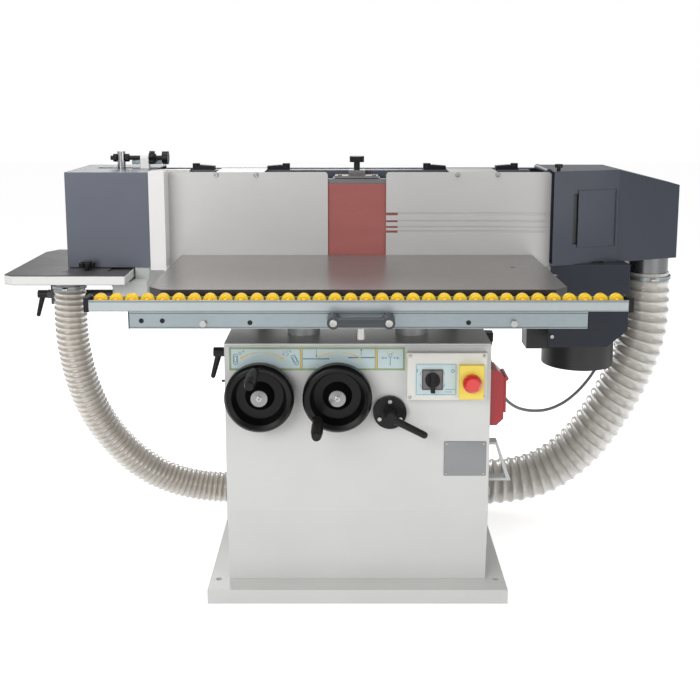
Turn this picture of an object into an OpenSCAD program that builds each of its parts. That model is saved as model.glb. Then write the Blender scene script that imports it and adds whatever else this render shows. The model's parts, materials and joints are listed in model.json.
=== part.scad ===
// Edge sander: floor-standing, tilting sanding unit, lifting table with a pull-out roller rail.
// Millimetres, +Z up, +X to the operator's right, origin on the floor amid the four floor bolts.

/* [Cabinet] */
// Width of the cabinet
cab_w = 620; // [610:5:640]
// Front of the cabinet, ahead of the floor bolts' centre
cab_front = 222; // [212:1:232]
// Rear of the cabinet, behind the floor bolts' centre
cab_rear = 200; // [196:1:204]
// Height of the cabinet's top
cab_h = 628; // [626:1:634]
// Height of the bend in the front sheet
bend_h = 219; // [180:1:260]
// How far the front sheet runs in below the bend
bend_in = 23; // [10:1:34]
// Thickness of the cabinet's sheet
sheet_t = 3; // [2:0.5:4]

/* [Base] */
// How far the base frame stands out past the cabinet on each side
base_out = 47; // [45:1:60]
// Front of the base frame, ahead of the floor bolts' centre
base_front = 255; // [245:1:270]
// Rear of the base frame, behind the floor bolts' centre
base_rear = 224; // [221:1:226]
// Height of the base frame
base_h = 35; // [28:1:36]
// How far the floor bolts stand in from the base frame's sides
bolt_in = 21; // [20:1:23]
// Floor bolt spacing front to back
bolt_span_y = 400; // [380:1:404]
// Diameter of the floor bolt holes
bolt_hole_d = 14; // [10:1:16]

/* [Table] */
// Width of the work table
table_w = 910; // [880:5:930]
// Front edge of the work table, ahead of the floor bolts' centre
table_front = 368; // [360:1:374]
// Height of the table's top face above the cabinet's top
table_rise = 157; // [157:1:159]
// Depth of the table's rim
table_t = 40; // [34:1:44]
// Corner cut at the front of the table
table_cut = 30; // [10:1:40]
// Travel of the table lift
lift_travel = 120; // [60:5:130]

/* [Roller rail] */
// Length of the roller rail
rail_l = 1132; // [1130:2:1160]
// Height of the rail
rail_h = 24; // [20:1:26]
// Depth of the rail
rail_d = 42; // [38:1:44]
// Number of roller wheels
roller_n = 34; // [28:1:34]
// Spacing of the roller wheels
roller_pitch = 33; // [31:0.5:33]
// Diameter of a roller wheel
roller_d = 29; // [24:1:31]
// Length of the galvanised bar
bar_l = 962; // [940:2:980]
// Height of the galvanised bar
bar_h = 37; // [32:1:38]

/* [Belt] */
// Width of the abrasive belt, which is its height on the machine
belt_w = 190; // [180:5:200]
// Thickness of the belt
belt_t = 1.5; // [1:0.5:2]
// Diameter of both belt drums
drum_d = 160; // [154:1:164]
// Drive drum's axis, right of centre
drive_x = 600; // [594:1:604]
// Idler drum's axis, left of centre
idler_x = 622; // [616:1:626]

/* [Sanding unit] */
// Width of the open stretch of belt between the guard panels
window_w = 150; // [100:5:220]
// Height of the cover tops above the table
cover_rise = 219; // [215:1:225]
// Thickness of the covers' sheet
cover_t = 2.5; // [2:0.5:3]
// Thickness of the guard panels
panel_t = 2; // [1.5:0.5:2.5]
// Radius of the tilting trunnions
trunnion_r = 100; // [92:1:104]
// Width of the white post
post_w = 40; // [30:1:42]

/* [Wheels and levers] */
// Diameter of both handwheels
wheel_d = 160; // [140:5:160]
// Diameter of the lever flange
flange_d = 78; // [60:2:80]
// Thickness of the auxiliary table
aux_t = 24; // [18:1:26]

/* [Dust extraction] */
// Outer diameter of the left hose at the crests of its ribs
hose_left_d = 86; // [80:1:90]
// Outer diameter of the right hose at the crests of its ribs
hose_right_d = 128; // [120:1:132]
// Diameter of the dust outlet at the rear
outlet_d = 150; // [120:5:160]

/* [Hidden] */

$fn = 48;
// gap between pieces that move, and between close neighbours
gap = 0.4;
// radial running fit of a shaft or rod in its own bush
slide_fit = 0.05;
// how far a cut runs past the face it opens
over = 1;
half = 0.5;
quarter_turn = 90;

paint_grey = [0.84, 0.84, 0.84];
cover_grey = [0.30, 0.33, 0.39];
sheet_grey = [0.74, 0.74, 0.74];
dark_plastic = [0.07, 0.07, 0.08];
steel = [0.66, 0.67, 0.68];
zinc = [0.62, 0.68, 0.70];
cream = [0.90, 0.90, 0.88];
hose_tan = [0.72, 0.68, 0.62];

// box between two corners, given as ranges along X, Y and Z
module slab(x, y, z) {
  translate([x[0], y[0], z[0]]) cube([x[1] - x[0], y[1] - y[0], z[1] - z[0]]);
}

// cylinder along X, Y or Z from a start point
module rod_x(at, d, l) translate(at) rotate([0, quarter_turn, 0]) cylinder(d = d, h = l);
module rod_y(at, d, l) translate(at) rotate([-quarter_turn, 0, 0]) cylinder(d = d, h = l);
module rod_z(at, d, l) translate(at) cylinder(d = d, h = l);

// upright slab with a plan outline
module plan(points, z) translate([0, 0, z[0]]) linear_extrude(z[1] - z[0]) polygon(points);

// slab across X with a side outline, points given as [y, z]
module profile_x(points, x) {
  translate([x[0], 0, 0]) rotate([quarter_turn, 0, quarter_turn])
    linear_extrude(x[1] - x[0]) polygon(points);
}

// both sides of the machine
module pair_x() for (m = [0, 1]) mirror([m, 0, 0]) children();

// sizes that follow from the ones above
base_w = cab_w + 2 * base_out;
bolt_span_x = base_w - 2 * bolt_in;
table_top = cab_h + table_rise;
cover_top = table_top + cover_rise;

// belt plane and the axis that the sanding unit tilts about
belt_y = 90;
tilt_y = 88;
tilt_drop = 3;
tilt_z = table_top - tilt_drop;
drum_y = belt_y + belt_t + gap + drum_d / 2;
belt_back = drum_y + drum_d / 2 + gap + belt_t;

// heights of the sanding unit's layers
cover_drop = 23;
cover_bottom = table_top - cover_drop;
bed_lift = 2;
bed_z = cover_bottom + bed_lift;
bed_t = 10;
belt_lift = 6;
belt_z = bed_z + bed_t + belt_lift;
belt_top = belt_z + belt_w;
beam_inset = 20;
beam_drop = 10;
beam_z = belt_z + beam_inset;
beam_top = belt_top - beam_drop;

/* base frame */
base_sheet = 4;
boss_d = 28;
gusset_t = 4;
gusset_h = 120;
gusset_back = 30;

module base_hole(x, y) rod_z([x, y, -over], bolt_hole_d, base_h + 2 * over);

module base_frame() color(paint_grey) difference() {
  union() {
    difference() {
      slab([-base_w / 2, base_w / 2], [-base_front, base_rear], [0, base_h]);
      slab([-base_w / 2 + base_sheet, base_w / 2 - base_sheet],
        [-base_front + base_sheet, base_rear - base_sheet], [-over, base_h - base_sheet]);
    }
    for (x = [-1, 1]) for (y = [-1, 1])
      rod_z([x * bolt_span_x / 2, y * bolt_span_y / 2, 0], boss_d, base_h - base_sheet);
    pair_x() translate([0, cab_rear - gusset_back, 0]) rotate([quarter_turn, 0, 0])
      linear_extrude(gusset_t) polygon([[cab_w / 2 + gap, base_h], [base_w / 2 - base_sheet, base_h],
        [cab_w / 2 + gap + gusset_t, base_h + gusset_h], [cab_w / 2 + gap, base_h + gusset_h]]);
  }
  for (x = [-1, 1]) for (y = [-1, 1]) base_hole(x * bolt_span_x / 2, y * bolt_span_y / 2);
}

/* cabinet shell: a bent sheet box, open at the bottom and closed by the cap */
cap_t = 5;
shell_top = cab_h - cap_t;
outer_side = [[-cab_front, shell_top], [-cab_front, bend_h], [-cab_front + bend_in, base_h],
  [cab_rear, base_h], [cab_rear, shell_top]];
inner_side = [[-cab_front + sheet_t, shell_top + over], [-cab_front + sheet_t, bend_h],
  [-cab_front + bend_in + sheet_t, base_h - over], [cab_rear - sheet_t, base_h - over],
  [cab_rear - sheet_t, shell_top + over]];

// places on the front panel, as [x, z]
tilt_hub = [-226, 511];
lift_hub = [-47, 511];
lever_hub = [75, 465];
shaft_d = 16;
shaft_play = 2;
shaft_bore = shaft_d + shaft_play;
shaft_tail = 40;

module cabinet_shell() color(paint_grey) difference() {
  profile_x(outer_side, [-cab_w / 2, cab_w / 2]);
  profile_x(inner_side, [-cab_w / 2 + sheet_t, cab_w / 2 - sheet_t]);
  for (hub = [tilt_hub, lift_hub, lever_hub])
    rod_y([hub[0], -cab_front - over, hub[1]], shaft_bore, sheet_t + 2 * over);
}

column_x = 130;
column_y = -110;
column_d = 50;
bush_d = 78;
bush_h = 26;
bush_drop = 60;

module cabinet_cap() color([0.60, 0.60, 0.60]) difference() {
  union() {
    slab([-cab_w / 2, cab_w / 2], [-cab_front, cab_rear], [shell_top, cab_h]);
    pair_x() rod_z([column_x, column_y, shell_top - bush_drop], bush_d, bush_drop + cap_t + bush_h);
  }
  pair_x() rod_z([column_x, column_y, shell_top - bush_drop - over], column_d + 2 * slide_fit,
    bush_drop + cap_t + bush_h + 2 * over);
}

side_panel_t = 4;
side_panel_y = [-150, 150];
side_panel_z = [180, 520];
pin_d = 6;
pin_l = 12;
pin_z = 527;
pin_y = 40;

module side_panel() {
  color([0.15, 0.15, 0.17])
    slab([-cab_w / 2 - side_panel_t, -cab_w / 2], side_panel_y, side_panel_z);
  color(steel) rod_x([-cab_w / 2 - pin_l, -cab_front + pin_y, pin_z], pin_d, pin_l);
}

plate_t = 1.5;
strip_x = [-300, 111];
strip_z = [563, 621];
badge_x = [203, 303];
badge_z = [307, 392];

// printed pictogram strip and the bare name plate, both on the front sheet
module panel_plates() color([0.72, 0.82, 0.86]) {
  slab(strip_x, [-cab_front - plate_t, -cab_front], strip_z);
  slab(badge_x, [-cab_front - plate_t, -cab_front], badge_z);
}

box_x = [114, 298];
box_z = [499, 611];
box_d = 22;
cam_at = [172, 549];
cam_plate = 48;
cam_plate_t = 4;

module switch_box() {
  color(cream) difference() {
    slab(box_x, [-cab_front - box_d, -cab_front], box_z);
    rod_y([cam_at[0], -cab_front - box_d - over, cam_at[1]], shaft_d + 2 * gap, box_d);
  }
  color([0.35, 0.33, 0.33]) difference() {
    slab([cam_at[0] - cam_plate / 2, cam_at[0] + cam_plate / 2],
      [-cab_front - box_d - cam_plate_t, -cab_front - box_d],
      [cam_at[1] - cam_plate / 2, cam_at[1] + cam_plate / 2]);
    rod_y([cam_at[0], -cab_front - box_d - 2 * cam_plate_t, cam_at[1]], shaft_d + 2 * gap,
      3 * cam_plate_t);
  }
}

stop_at = [261, 546];
stop_w = 56;
stop_h = 80;
stop_d = 16;
stop_bore = 24;
stop_travel = 4;

module estop_housing() color([0.95, 0.80, 0.10]) difference() {
  slab([stop_at[0] - stop_w / 2, stop_at[0] + stop_w / 2],
    [-cab_front - box_d - stop_d, -cab_front - box_d],
    [stop_at[1] - stop_h / 2, stop_at[1] + stop_h / 2]);
  rod_y([stop_at[0], -cab_front - box_d - stop_d - over, stop_at[1]], stop_bore + 2 * gap,
    stop_d + 2 * over);
}

button_d = 43;
button_h = 18;
collar_d = 30;
stem_gap = 5;

module estop_button() color([0.80, 0.10, 0.12]) {
  rod_y([stop_at[0], -cab_front - box_d - stop_d + stop_travel + gap, stop_at[1]], stop_bore,
    stop_d - 2 * stop_travel - gap);
  translate([stop_at[0], -cab_front - box_d - stop_d - stem_gap, stop_at[1]])
    rotate([quarter_turn, 0, 0]) rotate_extrude() polygon([[0, -stem_gap - stop_travel - gap],
      [stop_bore / 2, -stem_gap - stop_travel - gap], [stop_bore / 2, 0], [button_d / 2, 0],
      [button_d / 2, button_h * half], [collar_d / 2, button_h], [0, button_h]]);
}

// cam switch knob with its grip bar
knob_disc_d = 34;
knob_disc_t = 8;
knob_bar_w = 10;
knob_bar_l = 44;
knob_bar_t = 12;

module cam_knob() color(dark_plastic) translate([cam_at[0], -cab_front - box_d, cam_at[1]]) {
  rod_y([0, -cam_plate_t - gap, 0], shaft_d, cam_plate_t + gap + box_d / 2);
  rod_y([0, -cam_plate_t - gap - knob_disc_t, 0], knob_disc_d, knob_disc_t);
  slab([-knob_bar_w / 2, knob_bar_w / 2],
    [-cam_plate_t - gap - knob_disc_t - knob_bar_t, -cam_plate_t - gap - knob_disc_t],
    [-knob_bar_l * 0.6, knob_bar_l * 0.4]);
}

/* power inlet and brackets on the right wall */
inlet_y = [-205, -135];
inlet_z = [425, 560];
inlet_d = 34;
inlet_slope = 16;
socket_d = 56;
lid_t = 5;
lid_hinge_d = 10;
wall_x = cab_w / 2;

module power_inlet() color([0.75, 0.08, 0.10]) difference() {
  translate([0, inlet_y[1], 0]) rotate([quarter_turn, 0, 0]) linear_extrude(inlet_y[1] - inlet_y[0])
    polygon([[wall_x, inlet_z[0]], [wall_x + inlet_d - inlet_slope, inlet_z[0]],
      [wall_x + inlet_d, inlet_z[0] + inlet_slope], [wall_x + inlet_d, inlet_z[1] - inlet_slope],
      [wall_x + inlet_d - inlet_slope, inlet_z[1]], [wall_x, inlet_z[1]]]);
  rod_x([wall_x + inlet_d * half, (inlet_y[0] + inlet_y[1]) / 2, (inlet_z[0] + inlet_z[1]) / 2],
    socket_d, inlet_d);
}

lid_hinge_z = inlet_z[1] - inlet_slope - lid_hinge_d / 2;
lid_x = wall_x + inlet_d + gap;

// spring lid over the socket, hinged along its top edge
module inlet_lid() color([0.70, 0.06, 0.08]) {
  rod_y([lid_x + lid_hinge_d / 2, inlet_y[0], lid_hinge_z], lid_hinge_d, inlet_y[1] - inlet_y[0]);
  slab([lid_x, lid_x + lid_t], inlet_y, [inlet_z[0] + 2 * inlet_slope, lid_hinge_z]);
}

ring_t = 6;
ring_w = 30;
ring_y = -190;
ring_top = 378;
ring_bottom = 282;
ring_in = 24;
ring_out = 58;
saddle_y = [60, 110];
saddle_top = 222;
saddle_bottom = 140;
saddle_reach = 46;
saddle_t = 5;
saddle_foot = 14;

// cable ring and the bracket that the right hose leans on
module side_brackets() color(paint_grey) {
  translate([0, ring_y + ring_w, 0]) rotate([quarter_turn, 0, 0]) linear_extrude(ring_w)
    difference() {
      polygon([[wall_x, ring_top], [wall_x + ring_in, ring_top], [wall_x + ring_out, ring_bottom],
        [wall_x, ring_bottom]]);
      polygon([[wall_x - over, ring_top - ring_t], [wall_x + ring_in - ring_t * half, ring_top - ring_t],
        [wall_x + ring_out - 2 * ring_t, ring_bottom + ring_t], [wall_x - over, ring_bottom + ring_t]]);
    }
  translate([0, saddle_y[1], 0]) rotate([quarter_turn, 0, 0])
    linear_extrude(saddle_y[1] - saddle_y[0])
    polygon([[wall_x, saddle_top], [wall_x + saddle_t, saddle_top],
      [wall_x + saddle_reach, saddle_bottom + saddle_foot], [wall_x + saddle_reach, saddle_bottom],
      [wall_x, saddle_bottom]]);
}

/* dust collector behind the cabinet, with two inlets and one outlet */
hose_y = 275;
left_hose_z = 72;
right_hose_z = 90;
duct_t = 2;
hose_wall = 6;
left_bore = hose_left_d - 2 * hose_wall;
right_bore = hose_right_d - 2 * hose_wall;
plenum_x = [-170, 190];
plenum_y = [cab_rear + gap, 350];
plenum_z = [24, 240];
plenum_t = 3;
stub_l = 40;
outlet_x = 10;
outlet_z = 132;
outlet_l = 60;
stub_share = 0.9;

grille_w = 5;

module dust_collector() color([0.55, 0.57, 0.60]) {
  collector_box();
  grille_x(plenum_x[0], left_hose_z, left_bore / 2);
  grille_x(plenum_x[1] - plenum_t, right_hose_z, right_bore / 2);
}

// cross bars in the collector's wall that stop offcuts
module grille_x(x, z, r) {
  slab([x, x + plenum_t], [hose_y - grille_w / 2, hose_y + grille_w / 2], [z - r, z + r]);
  slab([x, x + plenum_t], [hose_y - r, hose_y + r], [z - grille_w / 2, z + grille_w / 2]);
}

module collector_box() difference() {
  union() {
    slab(plenum_x, [base_rear + gap, plenum_y[1]], [plenum_z[0], plenum_z[1]]);
    slab(plenum_x, plenum_y, [base_h + gap, plenum_z[1]]);
    rod_x([plenum_x[0] - stub_l, hose_y, left_hose_z], left_bore * stub_share, stub_l);
    rod_x([plenum_x[1], hose_y, right_hose_z], right_bore * stub_share, stub_l);
    rod_y([outlet_x, plenum_y[1], outlet_z], outlet_d, outlet_l);
  }
  slab([plenum_x[0] + plenum_t, plenum_x[1] - plenum_t],
    [base_rear + gap + plenum_t, plenum_y[1] - plenum_t], [plenum_z[0] + plenum_t, plenum_z[1] - plenum_t]);
  rod_x([plenum_x[0] - stub_l - over, hose_y, left_hose_z], left_bore * stub_share - 2 * duct_t,
    stub_l + 2 * plenum_t);
  rod_x([plenum_x[1] - plenum_t - over, hose_y, right_hose_z], right_bore * stub_share - 2 * duct_t,
    stub_l + 2 * plenum_t);
  rod_y([outlet_x, plenum_y[1] - plenum_t - over, outlet_z], outlet_d - 2 * duct_t,
    outlet_l + 2 * plenum_t);
}

/* lever flange with its bush, screwed to the front sheet */
flange_t = 12;
flange_hub_d = 30;
flange_hub_l = 14;

module lever_flange() color(dark_plastic) difference() {
  union() {
    rod_y([lever_hub[0], -cab_front - flange_t, lever_hub[1]], flange_d, flange_t);
    rod_y([lever_hub[0], -cab_front - flange_t - flange_hub_l, lever_hub[1]], flange_hub_d,
      flange_hub_l + flange_t);
  }
  rod_y([lever_hub[0], -cab_front - flange_t - flange_hub_l - over, lever_hub[1]], shaft_d + 2 * gap,
    flange_t + flange_hub_l + 2 * over);
}

/* arc trunnions: brackets on the cap, shoes under the sanding unit */
trunnion_x = 240;
trunnion_w = 32;
bracket_front = 80;
bracket_back = 62;
bracket_foot = 10;
bracket_foot_w = 70;

module tilt_brackets() color([0.45, 0.46, 0.48]) pair_x() difference() {
  union() {
    slab([trunnion_x - trunnion_w / 2, trunnion_x + trunnion_w / 2],
      [tilt_y - bracket_front, tilt_y + bracket_back], [cab_h, tilt_z - trunnion_r * half]);
    slab([trunnion_x - bracket_foot_w / 2, trunnion_x + bracket_foot_w / 2],
      [tilt_y - bracket_front, tilt_y + bracket_back], [cab_h, cab_h + bracket_foot]);
  }
  rod_x([trunnion_x - trunnion_w, tilt_y, tilt_z], 2 * (trunnion_r + gap), 2 * trunnion_w);
}

gland_block = [28, 30, 22];
gland_y = -40;
gland_z = 590;
gland_x = 20;
gland_nose_d = 16;
gland_nose_l = 12;
cable_d = 8;

// gland block on the right wall, its nose pointing down
module cable_gland() color(dark_plastic) {
  slab([wall_x, wall_x + gland_block[0]],
    [gland_y - gland_block[1] / 2, gland_y + gland_block[1] / 2], [gland_z, gland_z + gland_block[2]]);
  rod_z([wall_x + gland_x, gland_y, gland_z - gland_nose_l], gland_nose_d, gland_nose_l);
}

/* table: cast plate with ribs, its rear edge cut back at the tilt angle */
table_gap = 6;
table_rear = belt_y - table_gap;
table_skin = 14;
rib_t = 12;
rib_n = 5;
rim_t = 16;

module table_outline() polygon([[-table_w / 2, table_rear], [-table_w / 2, -table_front + table_cut],
  [-table_w / 2 + table_cut, -table_front], [table_w / 2 - table_cut, -table_front],
  [table_w / 2, -table_front + table_cut], [table_w / 2, table_rear]]);

module main_table() color([0.44, 0.42, 0.40]) difference() {
  translate([0, 0, table_top - table_t]) linear_extrude(table_t) table_outline();
  profile_x([[table_rear + over, table_top - over], [table_rear + over, table_top - table_t - over],
    [table_rear - table_t, table_top - table_t - over]], [-table_w, table_w]);
  for (i = [0:rib_n - 1]) {
    cell = (table_w - 2 * rim_t - (rib_n - 1) * rib_t) / rib_n;
    x0 = -table_w / 2 + rim_t + i * (cell + rib_t);
    slab([x0, x0 + cell], [-table_front + table_cut + rim_t, table_rear - table_t - rim_t],
      [table_top - table_t - over, table_top - table_skin]);
  }
}

/* saddle under the table, with the blocks that the slide rods run in */
rod_x_at = 326;
rod_d = 25;
rod_drop = 20;
rod_z_at = table_top - table_t - rod_drop;
saddle_bar_t = 12;
saddle_bar_y = [-180, -40];
block_w = 44;
block_y = [-340, -205];
block_l = 30;
collar_share = 0.8;

module table_saddle() color([0.30, 0.31, 0.33]) difference() {
  union() {
    slab([-column_x - bush_d / 2, column_x + bush_d / 2], saddle_bar_y,
      [table_top - table_t - saddle_bar_t, table_top - table_t]);
    pair_x() for (y = block_y)
      slab([rod_x_at - block_w / 2, rod_x_at + block_w / 2], [y, y + block_l],
        [rod_z_at - block_w / 2, table_top - table_t]);
    pair_x() rod_z([column_x, column_y, cab_h + bush_h + gap], bush_d * collar_share,
      table_top - table_t - cab_h - bush_h - gap);
  }
  pair_x() rod_y([rod_x_at, block_y[0] - over, rod_z_at], rod_d + 2 * slide_fit,
    block_y[1] - block_y[0] + block_l + 2 * over);
  pair_x() rod_z([column_x, column_y, cab_h], column_d, table_top - table_t - cab_h - saddle_bar_t);
}

column_tail = 120;
column_end = cab_h - lift_travel - column_tail;

module lift_columns() color(steel) pair_x()
  rod_z([column_x, column_y, column_end], column_d, table_top - table_t - saddle_bar_t - column_end);

/* front support: rods, rail, rollers, bar and handle */
rail_y = -426;
rail_drop = 35;
rail_z = table_top - rail_drop;
rod_end = 60;
rail_wall = 3;
wheel_t = 9;
wheel_z = table_top - roller_d / 2;
axle_d = 8;
wheel_y = rail_y + rail_d / 2;
bar_t = 14;
bar_wall = 3;
bar_z = rail_z - bar_h;
cap_l = 5;

module support_rods() color(steel) pair_x()
  rod_y([rod_x_at, rail_y + bar_t, rod_z_at], rod_d, rod_end - rail_y - bar_t);

// aluminium channel: front wall, floor and rear wall
module roller_rail() color(zinc) difference() {
  slab([-rail_l / 2, rail_l / 2], [rail_y, rail_y + rail_d], [rail_z, rail_z + rail_h]);
  slab([-rail_l / 2 - over, rail_l / 2 + over], [rail_y + rail_wall, rail_y + rail_d - rail_wall],
    [rail_z + rail_wall, rail_z + rail_h + over]);
}

module wheel_at(x) translate([x, 0, 0]) {
  rod_y([0, wheel_y - wheel_t / 2, wheel_z], roller_d, wheel_t);
  rod_y([0, rail_y + rail_wall, wheel_z], axle_d, rail_d - 2 * rail_wall);
}

module roller_wheels() color([0.95, 0.74, 0.12])
  for (i = [0:roller_n - 1]) wheel_at((i - (roller_n - 1) / 2) * roller_pitch);

// galvanised channel under the rail, open to the rear
module support_bar() color(zinc) difference() {
  slab([-bar_l / 2, bar_l / 2], [rail_y, rail_y + bar_t], [bar_z, rail_z]);
  slab([-bar_l / 2 - over, bar_l / 2 + over], [rail_y + bar_wall, rail_y + bar_t + over],
    [bar_z + bar_wall, rail_z - bar_wall]);
}

// black plastic caps on both ends of the rail and of the bar
module end_caps() color(dark_plastic) pair_x() {
  slab([rail_l / 2, rail_l / 2 + 2 * cap_l], [rail_y - plate_t, rail_y + rail_d + plate_t],
    [rail_z - plate_t, rail_z + rail_h + cap_l]);
  slab([bar_l / 2, bar_l / 2 + cap_l * half], [rail_y, rail_y + bar_t], [bar_z, rail_z]);
}

handle_x = 5;
handle_span = 115;
handle_lug_d = 26;
handle_d = 20;
handle_reach = 45;
handle_z = bar_z + bar_h * 0.6;
handle_cap_d = 15;

// bow handle: two lugs on the bar and a grip in front of them
module pull_handle() color([0.22, 0.24, 0.26]) {
  for (s = [-1, 1]) rod_y([handle_x + s * handle_span / 2, rail_y - handle_reach, handle_z],
    handle_lug_d, handle_reach);
  rod_x([handle_x - handle_span / 2, rail_y - handle_reach + handle_d / 2, handle_z], handle_d,
    handle_span);
}

bolt_x = 326;
bolt_head_d = 15;
bolt_head_t = 9;
stud_d = 16;
stud_l = 24;
hex_sides = 6;

// hex bolts that hold the bar to the slide rods, handle caps and the stop stud
module bar_fasteners() color(steel) {
  pair_x() translate([bolt_x, rail_y, rod_z_at]) rotate([quarter_turn, 0, 0])
    cylinder(d = bolt_head_d, h = bolt_head_t, $fn = hex_sides);
  for (s = [-1, 1]) rod_y([handle_x + s * handle_span / 2, rail_y - handle_reach - plate_t, handle_z],
    handle_cap_d, plate_t);
  rod_z([handle_x, rail_y + bar_t / 2, bar_z - stud_l], stud_d, stud_l);
}

/* sanding unit: bed plate, box beam inside the belt loop and the arc shoes */
bed_left = [-732, 34, 286];
bed_mid_y = [95, 183];
bed_right = [690, 121, 287];
bed_mid_x = 335;
beam_x = [-515, 500];
beam_set = 14;
beam_y = [belt_y + belt_t + beam_set, belt_back - belt_t - beam_set];
beam_wall = 6;
beam_post_x = 420;
beam_post_w = 60;
motor_bore = 60;
top_rail_x = [-438, 460];
top_rail_y = [175, 215];
top_rail_drop = 6;
top_rail_z = cover_top - top_rail_drop;
bed_left_in = 526;
bed_right_in = 504;
shoe_reach = 70;
idler_shaft_d = 21;
idler_travel = 12;

module unit_bed() color([0.25, 0.28, 0.33]) {
  difference() {
    union() {
      plan([[bed_left[0], bed_left[1]], [-bed_left_in, bed_left[1]], [-bed_left_in, bed_mid_y[0]],
        [bed_right_in, bed_mid_y[0]], [bed_right_in, bed_right[1]], [bed_right[0], bed_right[1]],
        [bed_right[0], bed_right[2]], [bed_mid_x, bed_right[2]], [bed_mid_x, bed_mid_y[1]],
        [-bed_mid_x, bed_mid_y[1]], [-bed_mid_x, bed_left[2]], [bed_left[0], bed_left[2]]],
        [bed_z, bed_z + bed_t]);
      slab(beam_x, beam_y, [beam_z, beam_top]);
      slab(top_rail_x, top_rail_y, [beam_top, top_rail_z]);
      pair_x() slab([beam_post_x - beam_post_w / 2, beam_post_x + beam_post_w / 2],
        [beam_y[0], bed_mid_y[1] + bed_t], [bed_z + bed_t, beam_z]);
      pair_x() intersection() {
        rod_x([trunnion_x - trunnion_w / 2, tilt_y, tilt_z], 2 * trunnion_r, trunnion_w);
        profile_x([[tilt_y, bed_z], [tilt_y, tilt_z - 2 * trunnion_r],
          [tilt_y + shoe_reach, tilt_z - 2 * trunnion_r], [tilt_y + 2 * shoe_reach, bed_z]],
          [trunnion_x - trunnion_w / 2, trunnion_x + trunnion_w / 2]);
      }
    }
    slab([beam_x[0] - over, beam_x[1] + over], [beam_y[0] + beam_wall, beam_y[1] - beam_wall],
      [beam_z + beam_wall, beam_top - beam_wall]);
    rod_z([drive_x, drum_y, bed_z - over], motor_bore, bed_t + 2 * over);
    idler_slot();
  }
}

// slot that lets the idler axle move when the belt is slackened
module idler_slot() {
  slab([-idler_x - idler_shaft_d / 2 - slide_fit, -idler_x + idler_shaft_d / 2 + idler_travel + gap],
    [drum_y - idler_shaft_d / 2 - gap, drum_y + idler_shaft_d / 2 + gap],
    [bed_z - over, bed_z + bed_t + over]);
}

platen_x = 470;
pad_t = 3;
clamp_x = [-57, 55];
clamp_t = 5;
clamp_y = [92, 150];
block_top_w = 44;
block_top_h = 13;
knob_y = 145;
knob_stem_d = 16;
knob_d = 38;
knob_h = 15;
screw_d = 10;
screw_h = 4;
head_h = 24;
platen_rise = 12;
head_z = beam_top + head_h;
knob_stem_l = 33;
knob_stem_top = head_z + clamp_t + knob_stem_l;

// steel platen with its sliding pad behind the belt, held by a clamp plate on top
module platen() {
  color([0.20, 0.20, 0.21])
    slab([-platen_x, platen_x], [belt_y + belt_t + gap, belt_y + belt_t + gap + pad_t],
      [belt_z + gap, belt_top - gap]);
  color([0.35, 0.35, 0.36])
    slab([-platen_x, platen_x], [belt_y + belt_t + gap + pad_t, beam_y[0]],
      [belt_z + gap, belt_top + platen_rise]);
  color([0.40, 0.40, 0.41])
    slab([clamp_x[0] - clamp_t, clamp_x[1] + clamp_t], [beam_y[0], clamp_y[1] + clamp_t],
      [beam_top, head_z]);
  color([0.45, 0.31, 0.24]) difference() {
    slab(clamp_x, clamp_y, [head_z, head_z + clamp_t]);
    rod_z([0, knob_y, head_z - over], knob_stem_d + 2 * gap, clamp_t + 2 * over);
  }
  color(dark_plastic) difference() {
    slab([-block_top_w / 2, block_top_w / 2], [knob_y - block_top_w / 2, knob_y + block_top_w / 2],
      [head_z + clamp_t, head_z + clamp_t + block_top_h]);
    rod_z([0, knob_y, head_z], knob_stem_d + 2 * slide_fit, 2 * block_top_h);
  }
  color(steel) for (s = [-1, 1])
    rod_z([s * block_top_w, clamp_y[0] + screw_d, head_z + clamp_t], screw_d, screw_h);
}

// knurled knob on its stem
knurl_n = 24;
knurl_d = 2.4;

module platen_knob() color(dark_plastic) translate([0, knob_y, 0]) {
  rod_z([0, 0, head_z + clamp_t + plate_t], knob_stem_d, knob_stem_top - head_z - clamp_t - plate_t);
  difference() {
    rod_z([0, 0, knob_stem_top], knob_d, knob_h);
    for (i = [0:knurl_n - 1]) rotate(i * 360 / knurl_n)
      rod_z([knob_d / 2, 0, knob_stem_top - over], knurl_d, knob_h + 2 * over);
  }
}

belt_r = drum_d / 2 + gap + belt_t;

// outline of the belt's loop round both drums
module loop_outline(r) {
  translate([drive_x, drum_y]) circle(r);
  translate([-idler_x, drum_y]) circle(r);
  translate([-idler_x, drum_y - r]) square([drive_x + idler_x, 2 * r]);
}

module abrasive_belt() color([0.58, 0.36, 0.34]) translate([0, 0, belt_z])
  linear_extrude(belt_w) difference() {
    loop_outline(belt_r);
    loop_outline(belt_r - belt_t);
  }

drum_inset = 2;
drum_z = belt_z + drum_inset;
drum_h = belt_w - 2 * drum_inset;
drum_web = 14;
drum_rim = 10;
hub_d = 60;
motor_shaft_d = 38;
idler_rise = 44;
idler_axle_top = cover_top + idler_rise;
motor_nose = 20;

// hollow drum with a web and a hub
module drum(x, bore) translate([x, drum_y, drum_z]) difference() {
  cylinder(d = drum_d, h = drum_h);
  translate([0, 0, drum_web]) cylinder(d = drum_d - 2 * drum_rim, h = drum_h);
  translate([0, 0, -over]) cylinder(d = bore, h = drum_h + 2 * over);
}

module drive_drum() color([0.35, 0.35, 0.36]) {
  drum(drive_x, motor_shaft_d - over);
  rod_z([drive_x, drum_y, bed_z - motor_nose], motor_shaft_d, drum_z + drum_h * half - bed_z + motor_nose);
}

module idler_drum() color([0.35, 0.35, 0.36]) drum(-idler_x, idler_shaft_d + 2 * slide_fit);

screw_rise = 27;
screw_z = cover_top + screw_rise;
screw_rod_d = 12;

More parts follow.
